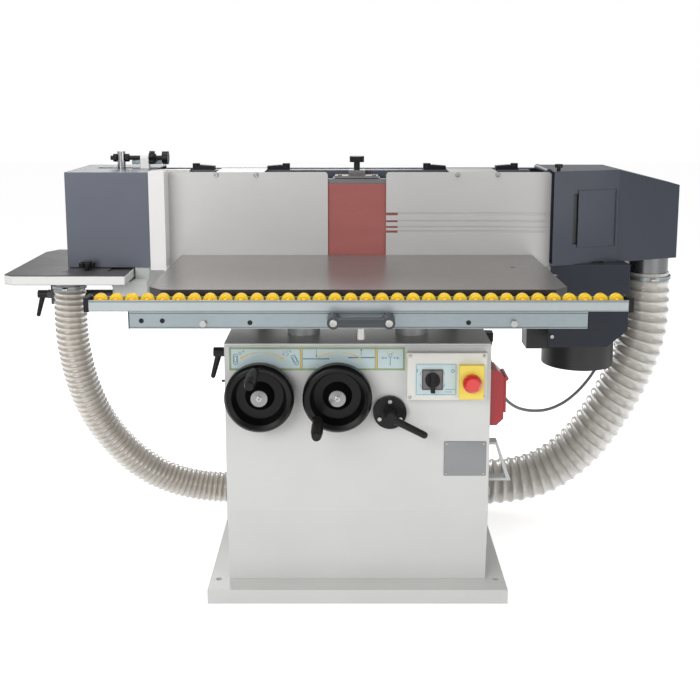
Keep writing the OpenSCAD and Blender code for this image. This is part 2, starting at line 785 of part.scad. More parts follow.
// idler axle: stands in the bed's slot and carries the tension screw above the cover
module idler_axle() color(steel) difference() {
  union() {
    rod_z([-idler_x, drum_y, bed_z], idler_shaft_d, idler_axle_top - bed_z);
    rod_z([-idler_x, drum_y, bed_z + bed_t + gap], hub_d * half, drum_z - bed_z - bed_t - 2 * gap);
  }
  rod_x([-idler_x - idler_shaft_d, drum_y, screw_z], screw_rod_d + 2 * slide_fit, 2 * idler_shaft_d);
}

nut_d = 21;
nut_t = 10;
star_x = -547;
star_d = 36;
star_t = 16;
star_n = 5;
wheel_knob_x = -513;
wheel_knob_d = 35;
wheel_knob_t = 15;
screw_end = -650;

// threaded rod with its two nuts, the star lock nut and the round knob
module tension_screw() {
  color([0.16, 0.16, 0.17]) {
    rod_x([screw_end, drum_y, screw_z], screw_rod_d, wheel_knob_x - screw_end + over);
    for (x = [-idler_x - idler_shaft_d / 2 - gap - nut_t, -idler_x + idler_shaft_d / 2 + gap])
      translate([x, drum_y, screw_z]) rotate([0, quarter_turn, 0])
        cylinder(d = nut_d, h = nut_t, $fn = hex_sides);
  }
  color(dark_plastic) {
    rod_x([star_x, drum_y, screw_z], star_d * 0.6, star_t);
    for (i = [0:star_n - 1]) translate([star_x, drum_y, screw_z]) rotate([i * 360 / star_n, 0, 0])
      rod_x([0, 0, star_d * 0.32], star_d * 0.36, star_t * 0.8);
    rod_x([wheel_knob_x, drum_y, screw_z], wheel_knob_d, wheel_knob_t);
  }
}

arm_x = [-570, -441];
arm_w = 28;
arm_drop = [19, 4];
arm_z = [cover_top - arm_drop[0], cover_top - arm_drop[1]];
arm_foot_x = -505;
arm_post_t = 22;

// cream block that carries the tension screw, on an arm from the beam's end
module tension_block() color(cream) difference() {
  union() {
    slab(arm_x, [drum_y - arm_w / 2, drum_y + arm_w / 2], arm_z);
    slab([arm_foot_x, arm_x[1]], [drum_y - arm_w / 2, drum_y + arm_w / 2], [beam_top, arm_z[0]]);
    slab([arm_x[0], arm_x[0] + arm_post_t], [drum_y - arm_w / 2, drum_y + arm_w / 2],
      [arm_z[0], screw_z]);
    rod_x([arm_x[0], drum_y, screw_z], arm_w, arm_post_t);
  }
  rod_x([arm_x[0] - over, drum_y, screw_z], screw_rod_d + 2 * slide_fit, arm_post_t + 2 * over);
}

/* guards and covers */
cover_left_x = [-735, -525];
cover_left_y = [30, 290];
slot_room = 10;
slot_w = idler_shaft_d + slot_room;

module left_cover() color(cover_grey) difference() {
  slab(cover_left_x, cover_left_y, [cover_bottom, cover_top]);
  slab([cover_left_x[0] + cover_t, cover_left_x[1] + over],
    [cover_left_y[0] + cover_t, cover_left_y[1] - cover_t], [cover_bottom - over, cover_top - cover_t]);
  slab([-idler_x - 2 * slot_w, cover_left_x[1] + over], [drum_y - slot_w / 2, drum_y + slot_w / 2],
    [cover_top - 2 * cover_t, cover_top + over]);
}

post_x = [cover_left_x[1] + gap, cover_left_x[1] + gap + post_w];
panel_gap = 5;
post_y = [28, belt_y - panel_gap];
post_out = [7, 2];
post_z = [cover_bottom - post_out[0], cover_top + post_out[1]];
post_wall = 3;
post_margin = 14;

// white post: a folded channel, open to the rear
module white_post() color(cream) difference() {
  slab(post_x, post_y, post_z);
  slab([post_x[0] + post_wall, post_x[1] - post_wall], [post_y[0] + post_wall, post_y[1] + over],
    [post_z[0] + post_wall, post_z[1] - post_wall]);
}

// guard panels with their hanging strips across the top rail
panel_x = 499;
panel_out = [8, 4];
panel_z = [cover_bottom - panel_out[0], cover_top - panel_out[1]];
panel_y = belt_y - panel_gap;
panel_round = 8;
arc_n = 6;
inner_in = 30;
strip_reach = [238, 362];
slot_z = [846, 858, 873, 892];
slot_h = [6, 5, 5, 7];

function arc(c, r, from, to) = [for (i = [0:arc_n]) c + r * [cos(from + (to - from) * i / arc_n),
  sin(from + (to - from) * i / arc_n)]];

// panel seen from the front between two X values, round at both top corners
module panel_face(x) translate([0, panel_y + panel_t, 0]) rotate([quarter_turn, 0, 0])
  linear_extrude(panel_t) polygon(concat([[x[0], panel_z[0]], [x[1], panel_z[0]]],
    arc([x[1] - panel_round, panel_z[1] - panel_round], panel_round, 0, quarter_turn),
    arc([x[0] + panel_round, panel_z[1] - panel_round], panel_round, quarter_turn, 2 * quarter_turn)));

module panel_strip(side) slab(side > 0 ? strip_reach : [-strip_reach[1], -strip_reach[0]],
  [panel_y + panel_t, top_rail_y[1]], [top_rail_z, top_rail_z + panel_t]);

module left_panel() color(sheet_grey) {
  panel_face([-panel_x + post_margin, -window_w / 2]);
  panel_strip(-1);
}

// the right panel has four slots, open at its inner edge, over a second plate
module right_panel() color(sheet_grey) {
  difference() {
    panel_face([window_w / 2, panel_x]);
    for (i = [0:3]) slab([window_w / 2 - over, panel_x - panel_round],
      [panel_y - over, panel_y + panel_t + over], [slot_z[i] - slot_h[i] / 2, slot_z[i] + slot_h[i] / 2]);
  }
  slab([window_w / 2 + inner_in, panel_x], [panel_y + panel_t, panel_y + 2 * panel_t],
    [bed_z + gap, panel_z[1] - 2 * panel_round]);
  panel_strip(1);
}

clamp_l = 60;
clamp_foot = 0.4;
clamp_step = 1.3;
clamp_w = 26;
clamp_h = 13;
clamp_knob_d = 20;
clamp_knob_h = 17;
clamp_places = [[-438, 1], [-178, -1], [177, 1], [430, -1]];
latch_x = 515;
latch_y = 78;

// clamp lever lying on the top rail, knob at its outer end
module clamp_lever() {
  translate([0, clamp_w / 2, 0]) rotate([quarter_turn, 0, 0]) linear_extrude(clamp_w)
    polygon([[0, 0], [clamp_l, 0], [clamp_l, clamp_h * 0.8], [clamp_knob_d * clamp_step, clamp_h],
      [clamp_knob_d, clamp_h], [clamp_knob_d * clamp_foot, clamp_h * clamp_foot], [0, clamp_h * 0.2]]);
  rod_z([clamp_knob_d / 2, 0, 0], clamp_knob_d, clamp_knob_h);
}

module panel_clamps() color(dark_plastic) {
  for (place = clamp_places) translate([place[0], (top_rail_y[0] + top_rail_y[1]) / 2, top_rail_z])
    rotate(place[1] > 0 ? 0 : 2 * quarter_turn) clamp_lever();
  rod_z([latch_x, latch_y, cover_top], clamp_knob_d * half, clamp_knob_h * half);
  rod_z([latch_x, latch_y, cover_top + clamp_knob_h * half], clamp_knob_d, clamp_knob_h * half);
}

guard_x = [-560, 540];
guard_y = [285, 287];
guard_flange = 18;
guard_drop = 10;
guard_top = cover_top - guard_drop;

module rear_guard() color(cover_grey) {
  slab(guard_x, guard_y, [bed_z + bed_t, guard_top]);
  slab([cover_left_x[1] + gap, right_front[0][0] - gap], [guard_y[0] - guard_flange, guard_y[1]],
    [guard_top, guard_top + cover_t]);
}

// right cover and hood: plan points from the front left corner round to the rear left corner
right_front = [[500, 50], [680, 110], [860, 180]];
right_rear = 290;
hood_drop = 46;
hood_top = cover_top - hood_drop;
front_angle = atan2(right_front[1][1] - right_front[0][1], right_front[1][0] - right_front[0][0]);
cuff_at = [796, 228];
cuff_d = 112;
door_u = [70, 182];
door_in = [45, 50];
door_z = [cover_bottom + door_in[0], cover_top - door_in[1]];
door_t = 2.5;
opening_u = [58, 172];
opening_inset = 8;
tube_d = 16;
tube_set = 6;
tube_y = [92, 262];

module right_body(t) intersection() {
  plan([[right_front[0][0] - (t > 0 ? over : 0), right_front[0][1] + t / cos(front_angle)],
    [right_front[1][0], right_front[1][1] + t / cos(front_angle)],
    [right_front[2][0] - t, right_front[2][1] + t / cos(front_angle) - t * sin(front_angle)],
    [right_front[2][0] - t, right_rear - t],
    [right_front[0][0] - (t > 0 ? over : 0), right_rear - t]], [cover_bottom + t, cover_top - t]);
  translate([0, right_rear + over, 0]) rotate([quarter_turn, 0, 0]) linear_extrude(right_rear + 2 * over)
    polygon([[right_front[0][0] - 2 * over, cover_bottom - over],
      [right_front[2][0] + over, cover_bottom - over], [right_front[2][0] + over, hood_top - t],
      [right_front[1][0], cover_top - t], [right_front[0][0] - 2 * over, cover_top - t]]);
}

// work along the slanted front face: u runs to the right, v out of the face
module on_front() translate([right_front[0][0], right_front[0][1], 0]) rotate(front_angle) children();

module right_cover() {
  color(cover_grey) difference() {
    right_body(0);
    right_body(cover_t);
    slab([right_front[0][0] - over, bed_right[0] + gap], [bed_right[1] - gap, right_rear - cover_t],
      [cover_bottom - over, cover_bottom + 2 * cover_t]);
    slab([right_front[0][0] - over, bed_right_in + gap], [bed_mid_y[0] - gap, bed_right[1]],
      [cover_bottom - over, cover_bottom + 2 * cover_t]);
    rod_z([drive_x, drum_y, cover_bottom - over], motor_flange_d + 2 * gap, 2 * cover_t);
    on_front() slab(opening_u, [-over, 2 * cover_t],
      [door_z[0] + opening_inset, door_z[1] - opening_inset]);
    rod_z([cuff_at[0], cuff_at[1], cover_bottom - over], cuff_d - 2 * duct_t, 2 * cover_t);
    rod_z([drive_x, drum_y, cover_bottom + cover_t], drum_d + 2 * belt_t + 5 * gap,
      cover_top - cover_bottom - 2 * cover_t);
  }
  color(steel) rod_y([right_front[0][0] - tube_set, tube_y[0], cover_top - tube_d / 4], tube_d,
    tube_y[1] - tube_y[0]);
}

door_hinge_d = 8;

// access door hinged at its right edge
module access_door() color(cover_grey) on_front() {
  slab([door_u[0], door_u[1]], [-door_t - gap, -gap], door_z);
  rod_z([door_u[1], -door_hinge_d / 2 - gap, door_z[0]], door_hinge_d, door_z[1] - door_z[0]);
}

cuff_l = 44;
cuff_inner_l = 60;
sleeve_share = 0.88;

// metal cuff under the hood; a thinner sleeve goes on into the hose
module right_cuff() color(steel) {
  cuff_tube();
  cuff_r = right_bore * sleeve_share / 2 - duct_t / 2;
  for (turn = [0, quarter_turn]) translate([cuff_at[0], cuff_at[1], 0]) rotate(turn)
    slab([-cuff_r, cuff_r], [-grille_w / 2, grille_w / 2],
      [cover_bottom - cuff_l - plenum_t, cover_bottom - cuff_l]);
}

module cuff_tube() difference() {
  union() {
    rod_z([cuff_at[0], cuff_at[1], cover_bottom - cuff_l], cuff_d, cuff_l);
    rod_z([cuff_at[0], cuff_at[1], cover_bottom - cuff_l - cuff_inner_l], right_bore * sleeve_share,
      cuff_inner_l + over);
  }
  rod_z([cuff_at[0], cuff_at[1], cover_bottom - cuff_l - cuff_inner_l - over],
    right_bore * sleeve_share - 2 * duct_t, cuff_l + cuff_inner_l + 2 * over);
}

duct_x = [-812, -640];
duct_y = [105, 195];
duct_drop = [60, 31];
duct_z = [cover_bottom - duct_drop[0], cover_bottom - duct_drop[1]];
neck_x = [-700, -642];
left_cuff_at = [-767, 150];

// flat dust duct under the auxiliary table, its neck rising to the bed
module left_duct() color(steel) difference() {
  union() {
    slab(duct_x, duct_y, duct_z);
    slab(neck_x, duct_y, [duct_z[1], bed_z]);
    rod_z([left_cuff_at[0], left_cuff_at[1], duct_z[0] - cuff_inner_l * half], left_bore * sleeve_share,
      cuff_inner_l * half);
  }
  rod_z([left_cuff_at[0], left_cuff_at[1], duct_z[0] - cuff_inner_l * half - over],
    left_bore * sleeve_share - 2 * duct_t, cuff_inner_l * half + 2 * duct_t);
}

/* motor, hung under the bed, and its skirt */
skirt_x = [500, 706];
skirt_y = [68, 246];
skirt_l = 219;
skirt_z = [cover_bottom - skirt_l, cover_bottom];
skirt_cut = [52, 45];
motor_d = 190;
motor_flange_d = 170;
motor_flange_t = 14;
motor_drop = [288, 12];
motor_z = [bed_z - motor_drop[0], bed_z - motor_drop[1]];
cowl_h = 70;
fin_n = 30;
fin_turn = 4;
fin_t = 2.4;
fin_h = 5;
terminal_x = [455, 520];
terminal_y = [135, 208];
terminal_drop = [242, 144];
terminal_z = [bed_z - terminal_drop[0], bed_z - terminal_drop[1]];
joint_box_x = [635, 715];
joint_box_y = [240, 296];
joint_box_drop = [199, 139];
joint_box_z = [bed_z - joint_box_drop[0], bed_z - joint_box_drop[1]];
motor_gland = [700, 272];
motor_gland_l = 12;

// skirt: front plate with a cut corner, two side plates and a top flange
module motor_skirt() color(cover_grey) difference() {
  skirt_plates();
  rod_z([drive_x, drum_y, skirt_z[1] - 2 * cover_t], motor_flange_d + 2 * gap, 3 * cover_t);
}

module skirt_plates() {
  translate([0, skirt_y[0] + cover_t, 0]) rotate([quarter_turn, 0, 0]) linear_extrude(cover_t)
    polygon([[skirt_x[0], skirt_z[0]], [skirt_x[1] - skirt_cut[0], skirt_z[0]],
      [skirt_x[1], skirt_z[0] + skirt_cut[1]], [skirt_x[1], skirt_z[1]], [skirt_x[0], skirt_z[1]]]);
  slab([skirt_x[1] - cover_t, skirt_x[1]], [skirt_y[0], joint_box_y[0] - gap],
    [skirt_z[0] + skirt_cut[1], skirt_z[1]]);
  slab([skirt_x[0], skirt_x[0] + cover_t], skirt_y, [terminal_z[1] + motor_flange_t, skirt_z[1]]);
  slab(skirt_x, [skirt_y[0], bed_right[1]], [skirt_z[1] - cover_t, skirt_z[1]]);
}

module motor() color([0.12, 0.12, 0.13]) difference() {
  union() {
    rod_z([drive_x, drum_y, motor_z[1]], motor_flange_d, bed_z - motor_z[1]);
    rod_z([drive_x, drum_y, motor_z[0] + cowl_h], motor_d - 2 * fin_h, motor_z[1] - motor_z[0] - cowl_h);
    rod_z([drive_x, drum_y, motor_z[0]], motor_d, cowl_h);
    for (i = [0:fin_n - 1]) translate([drive_x, drum_y, 0]) rotate(fin_turn + i * 360 / fin_n)
      slab([motor_d / 2 - 2 * fin_h, motor_d / 2 - over], [-fin_t / 2, fin_t / 2],
        [motor_z[0] + cowl_h, motor_z[1] - motor_flange_t]);
    slab(terminal_x, terminal_y, terminal_z);
    slab(joint_box_x, joint_box_y, joint_box_z);
    rod_z([motor_gland[0], motor_gland[1], joint_box_z[0] - motor_gland_l], gland_nose_d, motor_gland_l);
  }
  rod_z([drive_x, drum_y, bed_z - motor_nose - gap], motor_shaft_d + 2 * slide_fit, motor_nose + over);
}

/* auxiliary table on its clamp rod */
aux_x = [-868, -570];
aux_y = [-72, 330];
aux_top = cover_bottom - bed_lift;
aux_cut = [[24, 16], [24, 45]];
notch_x = -704;
notch_room = 4;
notch_y = [duct_y[0] - notch_room, duct_y[1] + notch_room];
clamp_rod_d = 24;
clamp_rod_drop = 107;
clamp_rod_at = [215, cover_bottom - clamp_rod_drop];
clamp_rod_x = [-846, -535];
carrier_x = [-832, -816];
carrier_w = 40;
groove_x = [-738, -708];
groove_y = [-24, -20];
recess_x = -625;
recess_y = [-15, 55];
recess_t = 3;
star_stem_d = 10;
star_knob_at = [-680, 5];

module aux_table() {
  color([0.42, 0.43, 0.46]) difference() {
    plan([[aux_x[0], aux_y[0] + aux_cut[0][1]], [aux_x[0] + aux_cut[0][0], aux_y[0]],
      [aux_x[1], aux_y[0]], [aux_x[1], aux_y[1]], [aux_x[0] + aux_cut[1][0], aux_y[1]],
      [aux_x[0], aux_y[1] - aux_cut[1][1]]], [aux_top - aux_t, aux_top]);
    slab([notch_x, aux_x[1] + over], notch_y, [aux_top - aux_t - over, aux_top + over]);
    slab(groove_x, groove_y, [aux_top - recess_t, aux_top + over]);
    slab([recess_x, aux_x[1] + over], recess_y, [aux_top - recess_t, aux_top + over]);
    rod_z([star_knob_at[0], star_knob_at[1], aux_top - aux_t * half], star_stem_d + 2 * gap, aux_t);
  }
  color(dark_plastic) {
    rod_x([clamp_rod_x[0], clamp_rod_at[0], clamp_rod_at[1]], clamp_rod_d, clamp_rod_x[1] - clamp_rod_x[0]);
    slab(carrier_x, [clamp_rod_at[0] - carrier_w / 2, clamp_rod_at[0] + carrier_w / 2],
      [clamp_rod_at[1] - clamp_rod_d, aux_top - aux_t]);
  }
}

star_knob_d = 42;
star_knob_h = 14;
star_lift = 8;
star_lobes = 5;

module star_knob() color(dark_plastic) translate([star_knob_at[0], star_knob_at[1], aux_top]) {
  rod_z([0, 0, -aux_t * half + gap], star_stem_d, aux_t * half + star_lift);
  rod_z([0, 0, star_lift], star_knob_d * 0.6, star_knob_h);
  for (i = [0:star_lobes - 1]) rotate(i * 360 / star_lobes)
    rod_z([star_knob_d * 0.32, 0, star_lift], star_knob_d * 0.36, star_knob_h * 0.8);
}

bracket_x = [-624, -530];
bracket_y = [0, 245];
bracket_drop = [72, 31];
bracket_z = [cover_bottom - bracket_drop[0], cover_bottom - bracket_drop[1]];
bracket_slant = 20;
lug_x = [-664, -600];
web_x = [-566, -530];
web_y = 36;

// bracket from the bed round the table's edge, with the lug that holds the clamp rod
module aux_bracket() color([0.80, 0.81, 0.80]) difference() {
  union() {
    translate([0, bracket_y[1], 0]) rotate([quarter_turn, 0, 0]) linear_extrude(bracket_y[1] - bracket_y[0])
      polygon([[bracket_x[0] + bracket_slant, bracket_z[0]], [bracket_x[1], bracket_z[0]],
        [bracket_x[1], bracket_z[1]], [bracket_x[0], bracket_z[1]]]);
    slab(web_x, [web_y, bracket_y[1]], [bracket_z[0], bed_z]);
    slab(lug_x, [clamp_rod_at[0] - carrier_w / 2, clamp_rod_at[0] + carrier_w / 2],
      [clamp_rod_at[1] - clamp_rod_d, bracket_z[0] + bracket_slant]);
  }
  rod_x([lug_x[0] - over, clamp_rod_at[0], clamp_rod_at[1]], clamp_rod_d + 2 * slide_fit,
    web_x[1] - lug_x[0]);
}

lever_d = 22;
lever_l = 58;
lever_tip_d = 11;
lever_head = 26;

// adjustable clamp lever: hub along X from 0 outwards, arm turned down by the given angle
module clamp_handle(turn) {
  rod_x([-lever_head, 0, 0], lever_d, lever_head);
  rotate([turn, 0, 0]) translate([-lever_head * half, 0, 0]) hull() {
    sphere(d = lever_d * 0.7, $fn = 20);
    translate([-lever_head * 0.6, 0, -lever_l]) sphere(d = lever_tip_d, $fn = 16);
  }
}

module aux_lever() color(dark_plastic)
  translate([clamp_rod_x[0] - gap, clamp_rod_at[0], clamp_rod_at[1]]) clamp_handle(0);

side_lever_at = [-205, 604];

module side_lever() color(dark_plastic)
  translate([-wall_x - gap, side_lever_at[0], side_lever_at[1]]) clamp_handle(0);

/* handwheels: dished, with a revolving grip */
rim_front = 58;
rim_back = 20;
wheel_gap = 3;
web_back = 14;
web_front = 26;
hub_r = 17;
hub_front = 48;
rim_w = 17;
grip_r = 66;
grip_base_d = 22;
grip_mid_d = 27;
grip_l = 112;
grip_hole_d = 10;
disc_d = 36;
disc_t = 2;
tilt_grip_angle = 99;
lift_grip_angle = 228;

// wheel revolved about +Y pointing out of the front panel; depth is measured from the panel
module handwheel(hub, grip_angle) translate([hub[0], -cab_front, hub[1]]) {
  color(dark_plastic) difference() {
    rotate([quarter_turn, 0, 0]) rotate_extrude() polygon([[0, wheel_gap], [hub_r, wheel_gap],
      [hub_r, web_back], [wheel_d / 2 - rim_w, web_back], [wheel_d / 2 - rim_w * half, rim_back],
      [wheel_d / 2, rim_back + rim_w * half], [wheel_d / 2, rim_front - rim_w * half],
      [wheel_d / 2 - rim_w * 0.3, rim_front - rim_w * 0.1], [wheel_d / 2 - rim_w * half, rim_front],
      [wheel_d / 2 - rim_w, rim_front - rim_w * 0.3], [wheel_d / 2 - rim_w * 1.5, web_front],
      [hub_r + rim_w, web_front], [hub_r, hub_front], [0, hub_front]]);
    rotate([0, -grip_angle, 0]) rod_y([grip_r, -rim_front - over, 0], grip_hole_d + 2 * slide_fit,
      rim_front + over - web_back);
  }
  color(steel) {
    rod_y([0, -hub_front - disc_t, 0], disc_d, disc_t);
    rod_y([0, -wheel_gap, 0], shaft_d, wheel_gap + shaft_tail);
  }
}

// revolving grip on its spindle
module grip(hub, grip_angle) color(dark_plastic) translate([hub[0], -cab_front, hub[1]])
  rotate([0, -grip_angle, 0]) translate([grip_r, 0, 0]) {
    rod_y([0, -rim_front - gap, 0], grip_hole_d, rim_front - web_back);
    translate([0, -rim_front - gap, 0]) rotate([quarter_turn, 0, 0]) rotate_extrude()
      polygon([[0, 0], [grip_base_d / 2, 0], [grip_mid_d / 2, grip_l * 0.35], [grip_mid_d / 2, grip_l * 0.7],
        [grip_base_d / 2, grip_l * 0.94], [grip_base_d * 0.4, grip_l], [0, grip_l]]);
  }

module tilt_wheel() handwheel(tilt_hub, tilt_grip_angle);
module lift_wheel() handwheel(lift_hub, lift_grip_angle);
module tilt_grip() grip(tilt_hub, tilt_grip_angle);
module lift_grip() grip(lift_hub, lift_grip_angle);

lock_hub_d = 26;
lock_hub_l = 34;
lock_arm_l = 84;
lock_angle = 24;
lock_tip_d = 16;
lock_front = flange_t + flange_hub_l;

module lock_lever() color(dark_plastic) translate([lever_hub[0], -cab_front - lock_front, lever_hub[1]]) {
  rod_y([0, -gap, 0], shaft_d, lock_front + shaft_tail * half);
  rod_y([0, -gap - lock_hub_l, 0], lock_hub_d, lock_hub_l);
  rotate([0, lock_angle, 0]) hull() {
    translate([0, -lock_hub_l * 0.7, 0]) sphere(d = lock_hub_d * 0.7, $fn = 20);
    translate([lock_arm_l, -lock_hub_l * 1.2, 0]) sphere(d = lock_tip_d, $fn = 16);
  }
}

/* swept tubes: a smooth curve through chosen points, sampled at equal steps along its length */
function bend(a, b, c, d, t) = half * (2 * b + (c - a) * t + (2 * a - 5 * b + 4 * c - d) * t * t
  + (3 * b - a - 3 * c + d) * t * t * t);
smooth_n = 8;
function smooth(p) = [for (i = [0:len(p) - 2]) for (k = [0:smooth_n - 1])
  bend(p[max(i - 1, 0)], p[i], p[i + 1], p[min(i + 2, len(p) - 1)], k / smooth_n), p[len(p) - 1]];
function run_lengths(p) = [for (i = 0, sum = 0; i < len(p); i = i + 1,
  sum = sum + (i < len(p) ? norm(p[i] - p[i - 1]) : 0)) sum];
function along(p, run, s) = [for (axis = [0:2]) lookup(s, [for (i = [0:len(p) - 1]) [run[i], p[i][axis]]])];
function unit(v) = v / norm(v);
function ring(c, dir, r, sides) = let(side = unit(cross(dir, [0, 1, 0])), up = cross(side, dir))
  [for (k = [0:sides - 1]) c + r * (side * cos(k * 360 / sides) + up * sin(k * 360 / sides))];
function rings(p, steps, radii, sides) = let(fine = smooth(p), run = run_lengths(fine),
  total = run[len(run) - 1]) [for (i = [0:steps]) let(s = total * i / steps,
    ahead = along(fine, run, min(s + total / steps * half, total)),
    behind = along(fine, run, max(s - total / steps * half, 0)))
    each ring(along(fine, run, s), unit(ahead - behind), radii[i % len(radii)], sides)];
function skin(from, steps, sides, flip) = [for (i = [0:steps - 1]) for (k = [0:sides - 1])
  let(a = from + i * sides + k, b = from + i * sides + (k + 1) % sides, c = a + sides, d = b + sides)
  each flip ? [[a, d, b], [a, c, d]] : [[a, b, d], [a, d, c]]];
function disc(from, sides, flip) = [for (k = [1:sides - 2]) flip ? [from, from + k, from + k + 1]
  : [from, from + k + 1, from + k]];
function rim(a, b, sides, flip) = [for (k = [0:sides - 1]) let(n = (k + 1) % sides)
  each flip ? [[a + k, a + n, b + n], [a + k, b + n, b + k]]
    : [[a + k, b + n, a + n], [a + k, b + k, b + n]]];

// ribbed tube with a bore: the outer radius steps between root and crest
module ribbed(path, ribs, crest, root, bore, sides, bore_steps) {
  outer = rings(path, 2 * ribs, [root, crest], sides);
  inner = rings(path, bore_steps, [bore], sides);
  n = len(outer);
  polyhedron(concat(outer, inner), concat(skin(0, 2 * ribs, sides, false), skin(n, bore_steps, sides, true),
    rim(0, n, sides, false), rim(2 * ribs * sides, n + bore_steps * sides, sides, true)));
}

module cord(path, steps, d, sides) {
  outer = rings(path, steps, [d / 2], sides);
  polyhedron(outer, concat(skin(0, steps, sides, false), disc(0, sides, false),
    disc(steps * sides, sides, true)));
}

// routes, points chosen by hand; their upper ends rise with the covers
drawn_cover = 762;
rise = cover_bottom - drawn_cover;
function raised(points, down) = let(last = len(points) - 1) [for (i = [0:last])
  points[i] + [0, 0, rise * (down ? 1 - i / last : i / last)]];
left_route = concat([[left_cuff_at[0], left_cuff_at[1], duct_z[0]]], raised([
  [-767, 150, 660], [-767, 150, 616], [-767, 153, 560], [-762, 160, 500],
  [-752, 172, 430], [-735, 188, 360], [-710, 205, 295], [-675, 222, 235], [-630, 240, 178],
  [-575, 256, 130], [-515, 268, 98], [-450, 274, 80], [-385, 275, 73], [-320, 275, 72], [-256, 275, 72],
  [-213, 275, 72], [-170, 275, 72]], true));
right_route = concat([[cuff_at[0], cuff_at[1], cover_bottom - cuff_l]], raised([
  [796, 228, 654], [796, 228, 590], [789, 230, 530], [772, 235, 465],
  [747, 242, 395], [718, 250, 332], [684, 258, 270], [645, 266, 212], [596, 272, 162], [540, 275, 124],
  [478, 275, 102], [410, 275, 92], [345, 275, 90], [280, 275, 90], [235, 275, 90], [190, 275, 90]], true));
cable_route = concat([[wall_x + gland_x, gland_y, gland_z - gland_nose_l]], raised([
  [330, -40, 560], [333, -39, 540], [341, -34, 510], [354, -22, 474],
  [372, -2, 438], [396, 26, 406], [430, 64, 378], [474, 106, 358], [522, 144, 350], [570, 178, 358],
  [612, 208, 378], [648, 234, 406], [676, 254, 438], [694, 266, 472], [700, 272, 506], [700, 272, 532]],
  false), [[motor_gland[0], motor_gland[1], joint_box_z[0] - motor_gland_l]]);
hose_sides = 8;
left_ribs = 70;
right_ribs = 38;
rib_h = 3.5;
rib_h_right = 5;
bore_steps = 30;
cord_sides = 8;
cord_steps = 60;

module left_hose() color(hose_tan)
  ribbed(left_route, left_ribs, hose_left_d / 2, hose_left_d / 2 - rib_h, left_bore / 2, hose_sides,
    bore_steps);
module right_hose() color(hose_tan)
  ribbed(right_route, right_ribs, hose_right_d / 2, hose_right_d / 2 - rib_h_right, right_bore / 2,
    hose_sides, bore_steps);
module motor_cable() color([0.45, 0.46, 0.50]) cord(cable_route, cord_steps, cable_d, cord_sides);

echo(left_hose_length = run_lengths(smooth(left_route))[len(smooth(left_route)) - 1]);
echo(right_hose_length = run_lengths(smooth(right_route))[len(smooth(right_route)) - 1]);
echo(cable_length = run_lengths(smooth(cable_route))[len(smooth(cable_route)) - 1]);

base_frame();
cabinet_shell();
cabinet_cap();
side_panel();
panel_plates();
switch_box();
estop_housing();
power_inlet();
side_brackets();
dust_collector();
lever_flange();
tilt_brackets();
cable_gland();
main_table();
table_saddle();
lift_columns();
support_rods();
roller_rail();
end_caps();
roller_wheels();
support_bar();
pull_handle();
bar_fasteners();
unit_bed();
platen();
abrasive_belt();
left_cover();
right_cover();
rear_guard();
left_panel();
right_panel();
white_post();
panel_clamps();
tension_block();
aux_bracket();
right_cuff();
left_duct();
motor_skirt();
motor();
aux_table();
tilt_wheel();
tilt_grip();
lift_wheel();
lift_grip();
lock_lever();
side_lever();
cam_knob();
estop_button();
inlet_lid();
drive_drum();
idler_drum();
idler_axle();
tension_screw();
platen_knob();
access_door();
star_knob();
aux_lever();
left_hose();
right_hose();
motor_cable();
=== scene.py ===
import json
import math
import bpy
import numpy as np
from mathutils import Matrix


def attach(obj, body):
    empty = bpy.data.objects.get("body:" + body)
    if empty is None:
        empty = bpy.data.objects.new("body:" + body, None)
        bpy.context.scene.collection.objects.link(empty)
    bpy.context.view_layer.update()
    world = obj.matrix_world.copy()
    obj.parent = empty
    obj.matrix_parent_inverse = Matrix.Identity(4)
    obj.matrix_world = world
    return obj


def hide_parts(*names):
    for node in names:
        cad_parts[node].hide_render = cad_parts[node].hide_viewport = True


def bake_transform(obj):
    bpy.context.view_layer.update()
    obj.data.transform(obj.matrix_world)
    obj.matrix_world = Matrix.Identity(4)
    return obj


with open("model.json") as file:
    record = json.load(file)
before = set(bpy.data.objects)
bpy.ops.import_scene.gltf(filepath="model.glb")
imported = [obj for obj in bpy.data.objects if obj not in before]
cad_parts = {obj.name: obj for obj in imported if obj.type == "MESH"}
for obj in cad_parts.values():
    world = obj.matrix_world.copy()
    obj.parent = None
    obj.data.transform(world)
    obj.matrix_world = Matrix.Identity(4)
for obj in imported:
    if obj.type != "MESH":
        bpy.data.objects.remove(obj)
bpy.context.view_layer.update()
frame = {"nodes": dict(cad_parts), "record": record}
scene = bpy.context.scene
print("frame loaded:", len(frame["nodes"]), "nodes")

millimetre = 0.001
white = (1, 1, 1, 1)


def feed(tree, socket, value):
    # a socket takes another node's output by a link, and a number, vector or colour as its own value
    if isinstance(value, bpy.types.NodeSocket):
        tree.links.new(value, socket)
    else:
        socket.default_value = value


def placed(tree, kind, feeds=None):
    # a new node of a kind, with its inputs fed by name or number
    node = tree.nodes.new("ShaderNode" + kind)
    for label, value in (feeds or {}).items():
        feed(tree, node.inputs[label], value)
    return node


def maths(tree, operation, first, second=None, third=None):
    # one Math node; each input is a socket or a number
    node = tree.nodes.new("ShaderNodeMath")
    node.operation = operation
    for place, value in enumerate((first, second, third)):
        if value is not None:
            feed(tree, node.inputs[place], value)
    return node.outputs[0]


def times(tree, first, second):
    return maths(tree, "MULTIPLY", first, second)


def plus(tree, first, second):
    return maths(tree, "ADD", first, second)


def minus(tree, first, second):
    return maths(tree, "SUBTRACT", first, second)


# camera, floor and light

